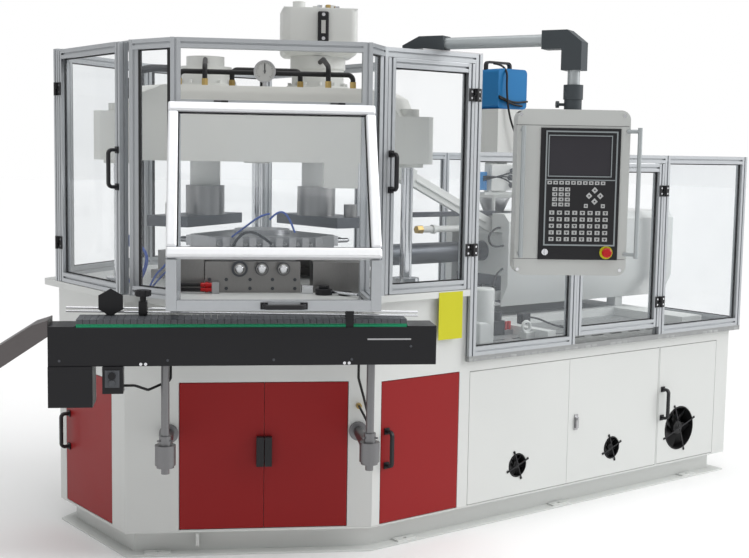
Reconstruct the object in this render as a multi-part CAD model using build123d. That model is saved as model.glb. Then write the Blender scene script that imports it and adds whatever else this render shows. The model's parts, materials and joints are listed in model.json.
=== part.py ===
import math
import os

from build123d import *

os.makedirs("parts", exist_ok=True)

# Fits between pieces
seat_gap = 0.3
running_gap = 0.1
door_gap = 3.0

# Plan of the base, measured from the index axis at the origin
left_face = 874.0
bay_face = 723.0
long_face = 850.0
right_end = 2470.0
step_x = 545.0
wall = 50.0

# Heights of the base
plinth_height = 110.0
table_top = 1110.0
table_thickness = 30.0
deck_top = 806.0
deck_thickness = 25.0

# Plan of the guard round the moulds
guard_left = 884.0
guard_long = 874.0
guard_rear_slant = 850.0
guard_bay = 907.0
guard_bay_half = 399.0
guard_side = 799.0
guard_side_rear_y = -383.0
guard_corner_x = 59.0
guard_left_front_y = -334.0
guard_left_rear_y = 324.0
guard_rear_left_t = 380.0
guard_rear_x = -166.0
deck_post_xs = (1210.5, 1870.0)
cover_gap_half = 320.0
guard_top = 2145.0
deck_guard_top = 1720.0
deck_guard_end = 2531.0

# Aluminium bar and clear sheet
bar_size = 40.0
groove_width = 8.0
groove_depth = 9.0
pane_thickness = 6.0
pane_grip = 8.7

# Stations round the index axis
injection_station = 0.0
blow_station = 120.0
stripping_station = 240.0
station_radius = 310.0
column_radius = 730.0
column_size = 27.0
index_bore = 160.0


def block(xs, ys, zs):
    # Box between three pairs of limits
    centre = [(low + high) / 2 for low, high in (xs, ys, zs)]
    size = [high - low for low, high in (xs, ys, zs)]
    return Pos(*centre) * Box(*size)


def post(x, y, radius, zs):
    # Upright cylinder
    low, high = zs
    return Pos(x, y, (low + high) / 2) * Cylinder(radius, high - low)


def rod(start, end, radius):
    # Cylinder between two points
    run = Vector(*end) - Vector(*start)
    return extrude(Plane(origin=start, z_dir=run) * Circle(radius), run.length)


def slab(points, zs):
    # Upright prism over a plan outline
    low, high = zs
    return Pos(0, 0, low) * extrude(make_face(Polyline(*points, close=True)), high - low)


def facing(angle):
    # Local frame of a side: x points out of the machine, y to the right as seen from outside
    return Rot(0, 0, angle)


def meet(angle_a, distance_a, angle_b, distance_b):
    # Where two vertical planes, given by normal angle and distance, cross in plan
    ax, ay = math.cos(math.radians(angle_a)), math.sin(math.radians(angle_a))
    bx, by = math.cos(math.radians(angle_b)), math.sin(math.radians(angle_b))
    spread = ax * by - ay * bx
    x = (distance_a * by - distance_b * ay) / spread
    y = (distance_b * ax - distance_a * bx) / spread
    return (x, y)


def base_outline(inset, right=right_end):
    # Outline of the base in plan, moved inward by the inset
    left, bay, side = left_face - inset, bay_face - inset, long_face - inset
    return [
        meet(180, left, 120, bay),
        meet(180, left, 240, bay),
        meet(240, bay, 270, side),
        (right - inset, -side),
        (right - inset, side),
        meet(90, side, 120, bay),
    ]


def write(name, *pieces):
    # One file per node, with each piece as its own solid
    solids = []
    for piece in pieces:
        solids.extend(piece.solids())
    shape = solids[0] if len(solids) == 1 else Compound(solids)
    export_step(shape, f"parts/{name}.step")
    print(name, len(solids), "solids", round(shape.volume / 1e6, 2), "litres")


# Plinth: an open channel under the whole outline
channel_depth = 60.0
channel_wall = 8.0
tab_inset = 34.0
anchor_radius = 9.0
anchor_xs = (239.0, 2196.0)
anchor_mid_x = 1210.0
tab_half = 55.0
tab_reach = 22.0
bay_tab_t = -460.0
lug_t = -300.0
lug_wide = 14.0
lug_hole = 7.0
tab_thickness = 6.0
cross_member_xs = (-440.0, 0.0, 700.0, 1300.0, 1900.0)
cross_member_width = 80.0


def ring(outer, inner, zs):
    return slab(base_outline(outer), zs) - slab(base_outline(inner), zs)


def make_plinth():
    inner = channel_depth + channel_wall
    shape = ring(0, inner, (0, channel_wall))
    shape += ring(channel_depth, inner, (0, plinth_height))
    shape += ring(0, inner, (plinth_height - channel_wall, plinth_height))
    within = slab(base_outline(channel_depth), (0, plinth_height))
    for x in cross_member_xs:
        half = cross_member_width / 2
        low_plate = block((x - half, x + half), (-long_face, long_face), (0, channel_wall))
        web = block((x - half, x - half + channel_wall), (-long_face, long_face), (0, plinth_height))
        shape += (low_plate + web) & within
    anchor_y = long_face - tab_inset
    for side in (-1, 1):
        for x in (*anchor_xs, anchor_mid_x):
            shape += block(
                (x - tab_half, x + tab_half),
                (side * anchor_y - tab_reach, side * anchor_y + tab_reach),
                (channel_wall, channel_wall + tab_thickness),
            )
            shape -= post(x, side * anchor_y, anchor_radius, (-1, 20))
    tab_x = bay_face - tab_inset
    tab = block(
        (tab_x - tab_reach, tab_x + tab_reach),
        (bay_tab_t - tab_half, bay_tab_t + tab_half),
        (channel_wall, channel_wall + tab_thickness),
    )
    shape += facing(240) * tab
    shape -= facing(240) * post(tab_x, bay_tab_t, anchor_radius, (-1, 20))
    lug_zs = (35, plinth_height - channel_wall)
    lug = block((bay_face - channel_depth, bay_face), (lug_t, lug_t + lug_wide), lug_zs)
    lug -= rod((bay_face - 22, lug_t - 1, 62), (bay_face - 22, lug_t + lug_wide + 1, 62), lug_hole)
    lug = fillet(lug.edges().filter_by(Axis.Y).group_by(Axis.X)[-1], 20)
    return shape + facing(240) * lug


# Base doors, each as (name, side, face distance, first y, last y, hinge on the right, low z, high z)
door_thickness = 20.0
door_rim = 12.0
door_skin = 2.5
door_lip = 12.0
pivot_inset = 4.0
pivot_radius = 2.5
pivot_length = 20.0
base_doors = {
    "left_end_door": (180, left_face, -260.0, 203.0, True, 116.0, 735.0),
    "stripping_door_left": (240, bay_face, -368.0, -16.0, False, 117.0, 741.0),
    "stripping_door_right": (240, bay_face, -14.0, 338.0, True, 117.0, 741.0),
    "front_red_door": (270, long_face, 71.0, 510.0, True, 114.0, 735.0),
    "front_door_1": (270, long_face, 577.0, 1225.0, False, 114.0, 729.0),
    "front_door_2": (270, long_face, 1227.0, 1890.0, True, 114.0, 729.0),
    "front_door_3": (270, long_face, 1902.0, 2364.0, True, 114.0, 729.0),
}

# Fans in the front doors, each as (door, centre along the face, centre height, opening, depth)
fans = {
    "fan_1": ("front_door_1", 891.0, 254.0, 115.0, 38.0),
    "fan_2": ("front_door_2", 1549.0, 250.0, 115.0, 38.0),
    "fan_3": ("front_door_3", 2077.0, 285.0, 233.0, 80.0),
}
fan_tip_gap = 3.0

# Bridge handles as (centre along the face, centre height), and the two upright grips of the bay doors
base_pulls = {
    "left_end_door": (-228.0, 442.0),
    "front_red_door": (100.0, 443.0),
    "front_door_3": (1930.0, 433.0),
}
grip_ys = {"stripping_door_left": (-48.0, -17.0), "stripping_door_right": (-13.0, 17.0)}
fan_pin_radius = 4.0


def pivot_place(name):
    # Plan place of a base door's pivots in its side's frame
    side, face, first, last, right, low, high = base_doors[name]
    y = last - pivot_inset if right else first + pivot_inset
    return face - pivot_inset, y


def make_cabinet():
    shape = slab(base_outline(0), (plinth_height, table_top - table_thickness))
    shape -= slab(base_outline(wall), (0, table_top))
    deck_low = deck_top - deck_thickness
    shape -= block((step_x, right_end + 1), (-long_face - 1, long_face + 1), (deck_low, table_top))
    inner_side = long_face - wall
    step_zs = (deck_low - wall, table_top - table_thickness)
    shape += block((step_x - wall, step_x), (-inner_side, inner_side), step_zs)
    for side, face, first, last, right, low, high in base_doors.values():
        recess = block(
            (face - door_thickness - 1, face + 1),
            (first - door_gap, last + door_gap),
            (low - door_gap, high + door_gap),
        )
        window = block(
            (face - wall - 1, face + 1),
            (first + door_lip, last - door_lip),
            (low + door_lip, high - door_lip),
        )
        shape -= facing(side) * (recess + window)
    return shape


def make_table():
    outline = [
        meet(180, guard_left, 120, guard_rear_slant),
        (-guard_left, guard_left_front_y),
        (-guard_side, guard_side_rear_y),
        *bay_ends(guard_bay),
        (guard_corner_x, -guard_long),
        (step_x, -guard_long),
        (step_x, guard_long),
        meet(90, guard_long, 120, guard_rear_slant),
    ]
    shape = slab(outline, (table_top - table_thickness, table_top))
    shape -= post(0, 0, index_bore, (table_top - table_thickness - 1, table_top + 1))
    gusset_low = 930.0
    for t in (-guard_bay_half + bar_size / 2, guard_bay_half - bar_size / 2):
        side_view = Plane(origin=(0, t - 4, 0), x_dir=(1, 0, 0), z_dir=(0, -1, 0))
        corners = [
            (bay_face, gusset_low),
            (bay_face, table_top - table_thickness),
            (guard_bay - 10, table_top - table_thickness),
        ]
        profile = make_face(Polyline(*corners, close=True))
        shape += facing(240) * extrude(side_view * profile, -8)
    return shape



def bay_ends(distance):
    # The two ends of the front bay's face in plan, left end first
    frame = facing(240)
    points = []
    for t in (-guard_bay_half, guard_bay_half):
        point = frame * Pos(distance, t, 0)
        points.append((point.position.X, point.position.Y))
    return points


def make_deck():
    low = deck_top - deck_thickness
    shape = block((step_x, deck_guard_end), (-guard_long, guard_long), (low, deck_top))
    slot_length, slot_width = 90.0, 24.0
    slot = Pos(0, 0, low - 1) * extrude(SlotOverall(slot_length, slot_width), deck_thickness + 2)
    slot_sheet = []
    columns = 12
    rows = (-720.0, -650.0, -580.0, 580.0, 650.0, 720.0)
    for row, y in enumerate(rows):
        for column in range(columns):
            x = 720.0 + column * 140.0 + (row % 2) * 60.0
            slot_sheet.append(Pos(x, y, 0) * slot)
    return shape - slot_sheet


# Table machinery: lower moulds, index drive and turret
turret_low = 1262.0
turret_high = 1322.0
turret_flat = 250.0
turret_corner = 330.0
core_rods = 8
core_pitch = 58.0
core_radius = 11.0
core_reach = 360.0
shaft_radius = 60.0
tool_low = table_top
tool_high = 1240.0
platen_low = 1352.0
platen_high = 1402.0
collar_high = 1542.0
collar_radius = 92.5
ram_radius = 72.5
ram_top = 1880.0


def triangle(front, corner):
    # Three long sides facing the stations and three short sides between them
    points = []
    for station in (0, 120, 240):
        points.append(meet(station - 60, corner, station, front))
        points.append(meet(station, front, station + 60, corner))
    return points


def make_turret():
    shape = slab(triangle(turret_flat, turret_corner), (turret_low, turret_high))
    shape += post(0, 0, 130, (turret_high, turret_high + 22))
    shape += post(0, 0, shaft_radius, (table_top + 12, turret_low))
    middle = (turret_low + turret_high) / 2
    for station in (0, 120, 240):
        bar = block(
            (turret_flat - 1, turret_flat + 26),
            (-core_rods * core_pitch / 2, core_rods * core_pitch / 2),
            (turret_low + 6, turret_high - 6),
        )
        shape += facing(station) * bar
        for number in range(core_rods):
            y = (number - (core_rods - 1) / 2) * core_pitch
            core = rod((turret_flat + 26, y, middle), (core_reach - core_radius, y, middle), core_radius)
            tip = Rot(0, 90, 0) * Cone(core_radius, core_radius / 2, core_radius)
            shape += facing(station) * (core + Pos(core_reach - core_radius / 2, y, middle) * tip)
    return shape


def make_index_housing():
    top_flange = post(0, 0, 180, (table_top, table_top + 12))
    barrel = post(0, 0, 110, (table_top + 12, turret_low - 14))
    under = post(0, 0, index_bore - seat_gap, (table_top - table_thickness, table_top))
    gearbox = block((-230, 230), (-200, 200), (880, table_top - table_thickness))
    bore = post(0, 0, shaft_radius + running_gap, (table_top + 12, turret_low))
    motor = rod((230, 0, 980), (430, 0, 980), 80)
    return (top_flange + barrel + under + gearbox + motor) - bore


mould_pitch = core_pitch
mould_half_width = 245.0


stripper_x = 424.0
bench_top = 1180.0
guide_ys = (-190.0, 90.0)
guide_z = 1215.0
guide_radius = 14.0


def make_lower_tooling():
    pieces = []
    for station in (injection_station, blow_station):
        bed = block((248, 440), (-mould_half_width - 30, mould_half_width + 30), (tool_low, 1150))
        halves = block((268, 420), (-mould_half_width, mould_half_width), (1150, tool_high))
        shape = bed + halves
        for number in range(core_rods):
            y = (number - (core_rods - 1) / 2) * mould_pitch
            wide = 15.0 if station == injection_station else 22.0
            shape -= rod((295, y, tool_high), (395, y, tool_high), wide)
            shape -= rod((267, y, tool_high), (296, y, tool_high), core_radius + 1)
        pieces.append(facing(station) * shape)
    front = facing(stripping_station)
    bench = block((300, 620), (-264, 138), (tool_low, bench_top))
    bench += block((580, 620), (-264, 138), (bench_top, tool_high))
    for y in guide_ys:
        bench += rod((stripper_x - 40, y, guide_z), (600, y, guide_z), guide_radius)
    for y in (-120.0, -27.0, 64.0):
        bench += rod((620, y, guide_z), (655, y, guide_z), 17)
        bench += rod((655, y, guide_z), (672, y, guide_z), 24)
    pieces.append(front * bench)
    pieces.append(front * block((470, 600), (-390, -268), (tool_low, 1256)))
    pieces.append(front * block((430, 620), (193, 391), (tool_low, tool_high)))
    return pieces



def make_stripper_plate():
    plate = block((stripper_x, stripper_x + 14), (-250, 250), (1244, 1330))
    for number in range(core_rods):
        y = (number - (core_rods - 1) / 2) * core_pitch
        middle = (turret_low + turret_high) / 2
        plate -= block((stripper_x - 1, stripper_x + 15), (y - 14, y + 14), (middle, 1331))
        plate -= rod((stripper_x - 1, y, middle), (stripper_x + 15, y, middle), 14)
    carriage = block((stripper_x, stripper_x + 76), (-250, 125), (bench_top + seat_gap, 1244))
    for y in guide_ys:
        bore_radius = guide_radius + running_gap
        carriage -= rod((stripper_x - 1, y, guide_z), (stripper_x + 77, y, guide_z), bore_radius)
    return facing(stripping_station) * (plate + carriage)


def make_upper_mould(station):
    platen = block((250, 470), (-260, 260), (platen_low, platen_high))
    shape = platen + post(station_radius, 0, collar_radius, (platen_high, collar_high))
    shape += post(station_radius, 0, ram_radius, (collar_high, ram_top))
    for y in (-200.0, 200.0):
        shape += post(station_radius + 60, y, 32, (platen_high, platen_high + 60))
    return facing(station) * shape


# Crosshead: a three armed casting on three tie columns
head_low = 1661.0
head_shoulder = 1870.0
head_slope = 1951.0
head_top = 1987.0
head_front = 445.0
head_corner = 838.0
barrel_radius = 105.0
column_seat = 1646.0


def make_tie_columns():
    columns = []
    for station in (60, 180, 300):
        column = post(column_radius, 0, column_size, (table_top, column_seat))
        foot = post(column_radius, 0, 62, (table_top, table_top + 40)) - post(
            column_radius, 0, column_size, (table_top, table_top + 40)
        )
        columns.append(facing(station) * (column + foot))
    return columns


def make_crosshead():
    shape = slab(triangle(head_front, head_corner), (head_low, head_shoulder))
    low_face = make_face(Polyline(*triangle(head_front, 725.0), close=True))
    high_face = make_face(Polyline(*triangle(head_front, 681.0), close=True))
    crown_face = make_face(Polyline(*triangle(head_front - 8, 600.0), close=True))
    shape += loft([Pos(0, 0, head_shoulder) * low_face, Pos(0, 0, head_slope) * high_face], ruled=True)
    shape += loft([Pos(0, 0, head_slope) * high_face, Pos(0, 0, head_top) * crown_face], ruled=True)
    shape -= post(0, 0, 120, (head_low - 1, head_top + 1))
    for station in (injection_station, blow_station):
        shape -= facing(station) * post(station_radius, 0, barrel_radius, (head_low - 1, head_top + 1))
    for station in (60, 180, 300):
        pad = post(column_radius, 0, 70, (column_seat, head_low))
        shape += facing(station) * pad
        nut = post(column_radius, 0, 48, (head_shoulder, head_shoulder + 34))
        shape += facing(station) * nut
    bracket = block((380, head_front), (250, 401), (1551, head_low))
    shape += facing(stripping_station) * bracket
    return shape


def make_clamp_cylinder(station, tall):
    bore = post(station_radius, 0, ram_radius + running_gap, (head_low - 1, 1975))
    barrel = post(station_radius, 0, barrel_radius, (head_low, head_top))
    flange = post(station_radius, 0, 150, (head_top, head_top + 34))
    shape = barrel + flange - bore
    shape += post(station_radius, 0, 125, (head_top + 34, 2102))
    for number in range(12):
        angle = math.radians(30 * number)
        x, y = station_radius + 137 * math.cos(angle), 137 * math.sin(angle)
        shape += post(x, y, 8, (head_top + 34, head_top + 50))
    if tall:
        shape += post(station_radius, 0, 132.5, (2102, 2160))
    else:
        shape += post(station_radius, 0, 90, (2102, 2150))
    return facing(station) * shape


def make_tank():
    # Oil tank over the tall cylinder, turned to face the conveyor side
    tank_low, tank_high = 2160.0, 2377.0
    tank = block((-150, 150), (-178, 178), (tank_low, tank_high))
    tank = fillet(tank.edges().filter_by(Axis.Z), 40)
    tank = fillet(tank.edges().group_by(Axis.Z)[0], 30)
    tank += block((-146, 146), (-174, 174), (tank_high, tank_high + 5))
    for t, radius, height in ((-95, 30, 43), (-10, 20, 24), (55, 26, 30)):
        tank += post(20, t, radius, (tank_high, tank_high + height))
    return Pos(station_radius, 0, 0) * Rot(0, 0, stripping_station) * tank


def make_gauge():
    body = facing(stripping_station) * rod((head_front - 40, -11, 2052), (head_front - 10, -11, 2052), 47.5)
    stem = facing(stripping_station) * post(head_front - 25, -11, 9, (head_top, 2010))
    dish = facing(stripping_station) * rod((head_front - 14, -11, 2052), (head_front - 9, -11, 2052), 43)
    pin = facing(stripping_station) * rod((head_front - 15, -11, 2052), (head_front - 10.5, -11, 2052), 2)
    return body + stem - dish + pin


def make_needle():
    arm = block((head_front - 12.5, head_front - 11.3), (-13, -9), (2042, 2086))
    hub = rod((head_front - 12.5, -11, 2052), (head_front - 11.3, -11, 2052), 5)
    hole = rod((head_front - 13, -11, 2052), (head_front - 10, -11, 2052), 2.1)
    return facing(stripping_station) * (arm + hub - hole)


hose_radius = 11.0
fitting_radius = 15.0
hose_runs = (
    ((400, 268, head_top + 30), (400, 268, 2080), (150, 268, 2130), (-22, 268, 2130)),
    ((400, -268, head_top + 30), (400, -268, 2070), (100, -268, 2120), (-65, -268, 2120)),
    ((374, -380, head_top + 30), (374, -380, 2048), (374, 380, 2048), (374, 380, head_top + 30)),
    ((330, -150, head_top + 30), (330, -150, 2062), (330, 150, 2062), (330, 150, head_top + 30)),
)
cable_radius = 5.0
gland_place = (bay_face, 384.0, 640.0)


def swept(points, radius, bend):
    path = FilletPolyline(*points, radius=bend)
    return sweep(Plane(origin=path @ 0, z_dir=path % 0) * Circle(radius), path=path)


def make_hoses():
    return [facing(stripping_station) * swept(points, hose_radius, 24) for points in hose_runs]


def make_hose_fittings():
    # Hexagon nipples under the hose ends and the cable gland on the base
    pieces = []
    for points in hose_runs:
        for x, y, z in (points[0], points[-1]):
            if z > head_top + 30:
                continue
            pieces.append(Pos(x, y, head_top) * extrude(RegularPolygon(fitting_radius, 6), 30))
    gland = rod(gland_place, (gland_place[0] + 22, *gland_place[1:]), 12)
    return [facing(stripping_station) * piece for piece in (*pieces, gland)]


def make_cables():
    # Motor cable of the speed box and the lead from the conveyor to the gland
    speed = [
        (1136, -565, 813),
        (1136, -525, 813),
        (1110, -476, 790),
        (1068, -392, 820),
        (1068, -392, side_low),
    ]
    lead = [
        (1110, 335, side_low),
        (1110, 335, 830),
        (1065, 362, 745),
        (980, 396, 640),
        (860, 404, 600),
        (800, 384, 640),
        (gland_place[0] + 22, *gland_place[1:]),
    ]
    return [facing(stripping_station) * swept(points, cable_radius, 18) for points in (speed, lead)]


# Guard
def grooved_section():
    section = Rectangle(bar_size, bar_size)
    for angle in (0, 90, 180, 270):
        groove = Pos(bar_size / 2 - groove_depth / 2, 0) * Rectangle(groove_depth, groove_width)
        section -= Rot(0, 0, angle) * groove
    return section


bar_section = grooved_section()


def bar(start, end, side):
    # Grooved bar between two points, with its x side along the given direction
    run = Vector(*end) - Vector(*start)
    return extrude(Plane(origin=start, x_dir=side, z_dir=run) * bar_section, run.length)


def bar_post(x, y, angle, zs):
    side = (math.cos(math.radians(angle)), math.sin(math.radians(angle)), 0)
    return bar((x, y, zs[0]), (x, y, zs[1]), side)


def framed_door(width, low, high, pull_y, pull_z):
    # Door in the local frame: outer face at x = 0, y from 0 to width, handle at pull_y
    half = bar_size / 2
    pieces = []
    for y in (half, width - half):
        pieces.append(bar((-half, y, low), (-half, y, high), (1, 0, 0)))
    for z in (low + half, high - half):
        pieces.append(bar((-half, bar_size, z), (-half, width - bar_size, z), (1, 0, 0)))
    edge = bar_size - pane_grip
    pieces.append(
        block(
            (-half - pane_thickness / 2, -half + pane_thickness / 2),
            (edge, width - edge),
            (low + edge, high - edge),
        )
    )
    pieces.append(Pos(0, pull_y, pull_z) * bridge_handle())
    return pieces


handle_span = 150.0
handle_stand = 40.0


def bridge_handle():
    # Moulded pull handle standing off a face at x = 0
    half = handle_span / 2
    corners = [(0, 0, -half), (handle_stand, 0, -half), (handle_stand, 0, half), (0, 0, half)]
    path = FilletPolyline(*corners, radius=16)
    section = Plane(origin=path @ 0, z_dir=path % 0) * chamfer(Rectangle(14, 20).vertices(), 4)
    grip = sweep(section, path=path)
    for z in (-half, half):
        grip += block((0, 6), (-13, 13), (z - 14, z + 14))
    return grip


knuckle_radius = 7.0
knuckle_height = 28.0
hinge_pin_radius = 3.0
leaf_thickness = 4.0


def hinge_pair(axis_y, z, door_side):
    # Post leaf with the pin, and door leaf with the bored knuckle, door_side is 1 or -1 along y
    axis_x = leaf_thickness + knuckle_radius
    lower = post(axis_x, axis_y, knuckle_radius, (z - knuckle_height, z))
    pin = post(axis_x, axis_y, hinge_pin_radius, (z, z + knuckle_height))
    post_leaf = block(
        (0, leaf_thickness),
        tuple(sorted((axis_y - door_side * 6, axis_y - door_side * 34))),
        (z - knuckle_height, z + knuckle_height),
    )
    post_web = block(
        (0, axis_x),
        tuple(sorted((axis_y - door_side * 2, axis_y - door_side * 10))),
        (z - knuckle_height, z - seat_gap),
    )
    upper = post(axis_x, axis_y, knuckle_radius, (z + seat_gap, z + knuckle_height))
    door_leaf = block(
        (0, leaf_thickness),
        tuple(sorted((axis_y + door_side * 9, axis_y + door_side * 36))),
        (z - knuckle_height, z + knuckle_height),
    )
    door_web = block(
        (0, axis_x),
        tuple(sorted((axis_y + door_side * 2, axis_y + door_side * 12))),
        (z + seat_gap, z + knuckle_height),
    )
    bore = post(axis_x, axis_y, hinge_pin_radius + running_gap, (z - 1, z + knuckle_height + 1))
    fixed = lower + post_web + post_leaf + pin
    moving = upper + door_web + door_leaf - bore
    return fixed, moving


# Guard doors, each as (side, face distance, first y, last y, low z, high z, hinge y, hinge on the right,
# hinge heights, handle y, handle z)
guard_hinge_zs = (1968.0, 1286.0)
hinge_gap = 4.0
guard_doors = {
    "left_guard_door": (180, guard_left, -300.0, 314.0, 1113.0, 2138.0, False, guard_hinge_zs, 294.0, 1628.0),
    "front_guard_door": (270, guard_long, 59.0, 543.0, 1113.0, 2103.0, True, guard_hinge_zs, 79.0, 1630.0),
    "deck_guard_door": (270, guard_long, 1232.0, 1848.0, 846.0, 1677.0, True, (1541.0, 975.0), 1252.0, 1300.0),
}


def guard_door_parts(name):
    # Solids of a guard door and of the hinge leaves that stay on its post
    side, distance, first, last, low, high, right, hinge_zs, pull_y, pull_z = guard_doors[name]
    pieces = framed_door(last - first, low, high, pull_y - first, pull_z)
    frame = facing(side) * Pos(distance, first, 0)
    moving = [frame * piece for piece in pieces]
    fixed = []
    for z in hinge_zs:
        axis_y, door_side = hinge_place(name)
        stay, swing = hinge_pair(axis_y, z, door_side)
        place = facing(side) * Pos(distance, 0, 0)
        fixed.append(place * stay)
        moving.append(place * swing)
    return moving, fixed


def hinge_place(name):
    side, distance, first, last, low, high, right, hinge_zs, pull_y, pull_z = guard_doors[name]
    if right:
        return last + hinge_gap / 2, -1
    return first - hinge_gap / 2, 1


bay_rail_z = (1865.0, 1905.0)


def guard_posts():
    # Posts of the tall guard as (x, y, angle, low z, high z)
    half = bar_size / 2
    posts = []
    for t in (-guard_bay_half + half, guard_bay_half - half):
        place = facing(240) * Pos(guard_bay - half, t, 0)
        posts.append((place.position.X, place.position.Y, 240, table_top, guard_top))
    mid_x = -(guard_left + guard_side) / 2
    mid_y = (guard_left_front_y + guard_side_rear_y) / 2
    inward = (math.cos(math.radians(60)), math.sin(math.radians(60)))
    posts.append((mid_x + inward[0] * half, mid_y + inward[1] * half, 240, table_top, guard_top))
    posts.append((guard_corner_x - half - 2, -guard_long + half, 270, table_top, guard_top))
    for side in (-1, 1):
        posts.append((step_x + half, side * (guard_long - half), 270, deck_top, guard_top))
    posts.append((-guard_left + half, guard_left_rear_y, 180, table_top, guard_top))
    rear_left = facing(120) * Pos(guard_rear_slant - half, guard_rear_left_t, 0)
    posts.append((rear_left.position.X, rear_left.position.Y, 120, table_top, guard_top))
    posts.append((guard_rear_x, guard_long - half, 90, table_top, guard_top))
    return posts



def make_guard():
    half = bar_size / 2
    posts = guard_posts()
    solids = [bar_post(x, y, angle, (low, high)) for x, y, angle, low, high in posts]
    cutters = [
        Pos(x, y, (low + high) / 2) * Rot(0, 0, angle) * Box(bar_size, bar_size, high - low)
        for x, y, angle, low, high in posts
    ]
    bay_left, bay_right, b_post, corner_post, front_right, rear_right, left_post, slant_post, rear_post = posts
    top = guard_top - half
    low_rail = table_top + half
    runs = [
        (bay_left, bay_right, top),
        (bay_left, bay_right, sum(bay_rail_z) / 2),
        (bay_right, corner_post, top),
        (bay_right, corner_post, low_rail),
        (corner_post, front_right, top),
        (front_right, rear_right, top),
        (rear_right, rear_post, top),
        (rear_right, rear_post, low_rail),
        (rear_post, slant_post, top),
        (rear_post, slant_post, low_rail),
        (slant_post, left_post, top),
        (slant_post, left_post, low_rail),
        (b_post, bay_left, top),
        (b_post, bay_left, low_rail),
    ]
    for first, last, z in runs:
        start, end = (first[0], first[1], z), (last[0], last[1], z)
        solids.append(largest(bar(start, end, (0, 0, 1)) - cutters))
    return solids


def largest(shape):
    return max(shape.solids(), key=lambda solid: solid.volume)


def make_left_top_rail():
    # Rail behind the top of the left door, set back so that the door laps over it
    half = bar_size / 2
    x, y, angle, low, high = guard_posts()[2]
    setback = 2.0
    face = -guard_left + bar_size
    rail_x, rail_z = face + setback + half, guard_top - half
    rail = bar((rail_x, y, rail_z), (rail_x, guard_left_rear_y + half, rail_z), (0, 0, 1))
    rail -= Pos(x, y, guard_top) * Rot(0, 0, angle) * Box(bar_size, bar_size, 200)
    shim = block((face, face + setback), (306, 342), (guard_top - bar_size, guard_top))
    return largest(rail) + shim


def make_deck_guard():
    half = bar_size / 2
    solids = []
    y = guard_long - half
    top = deck_guard_top - half
    low = deck_top + half
    start_x = step_x + bar_size
    for side in (-1, 1):
        for x in (*deck_post_xs, deck_guard_end - half):
            solids.append(bar_post(x, side * y, 270, (deck_top, deck_guard_top)))
        edges = [start_x, *deck_post_xs, deck_guard_end - half]
        for number in range(3):
            left = edges[number] + (half if number else 0)
            right = edges[number + 1] - half
            solids.append(bar((left, side * y, top), (right, side * y, top), (0, 0, 1)))
            if side > 0 or number != 1:
                solids.append(bar((left, side * y, low), (right, side * y, low), (0, 0, 1)))
    x = deck_guard_end - half
    for near, far in ((-y + half, -cover_gap_half), (cover_gap_half, y - half)):
        for z in (top, low):
            solids.append(bar((x, near, z), (x, far, z), (0, 0, 1)))
    for side in (-1, 1):
        solids.append(
            bar_post(x, side * (cover_gap_half - half), 0, (deck_top, deck_guard_top))
        )
    return solids



def pane(start, end, inset, zs):
    # Upright sheet along a plan line between two posts
    run = Vector(end[0] - start[0], end[1] - start[1])
    direction = run.normalized()
    first = Vector(start[0], start[1]) + direction * inset
    last = Vector(end[0], end[1]) - direction * inset
    middle = (first + last) * 0.5
    angle = math.degrees(math.atan2(run.Y, run.X))
    low, high = zs
    return (
        Pos(middle.X, middle.Y, (low + high) / 2)
        * Rot(0, 0, angle)
        * Box((last - first).length, pane_thickness, high - low)
    )


def make_panes():
    half = bar_size / 2
    grip = bar_size - pane_grip
    posts = guard_posts()
    bay_left, bay_right, b_post, corner_post, front_right, rear_right, left_post, slant_post, rear_post = posts
    zs = (table_top + grip, guard_top - grip)
    pieces = []
    for first, last in (
        (bay_right, corner_post),
        (rear_right, rear_post),
        (rear_post, slant_post),
        (slant_post, left_post),
        (b_post, bay_left),
    ):
        pieces.append(pane(first, last, bar_size * 0.75, zs))
    y = guard_long - half
    zs = (deck_top + grip, deck_guard_top - grip)
    inner = half - pane_grip
    for side in (-1, 1):
        edges = [step_x + half, *deck_post_xs, deck_guard_end - half]
        for number in range(3):
            if side < 0 and number == 1:
                continue
            left_inset = inner if number else half
            start = (edges[number] + left_inset, side * y)
            end = (edges[number + 1] - inner, side * y)
            pieces.append(pane(start, end, 0, zs))
    x = deck_guard_end - half
    edge = cover_gap_half - pane_grip
    for near, far in ((-y + inner, -edge), (edge, y - inner)):
        pieces.append(pane((x, near), (x, far), 0, zs))
    return pieces


# Lifting hood over the conveyor side
hood_half = 406.0
hood_axis_x = guard_bay + 8.0
hood_axis_z = 1895.0
hood_front_x = bay_face + 495.0
hood_knee_z = 1300.0


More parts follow.
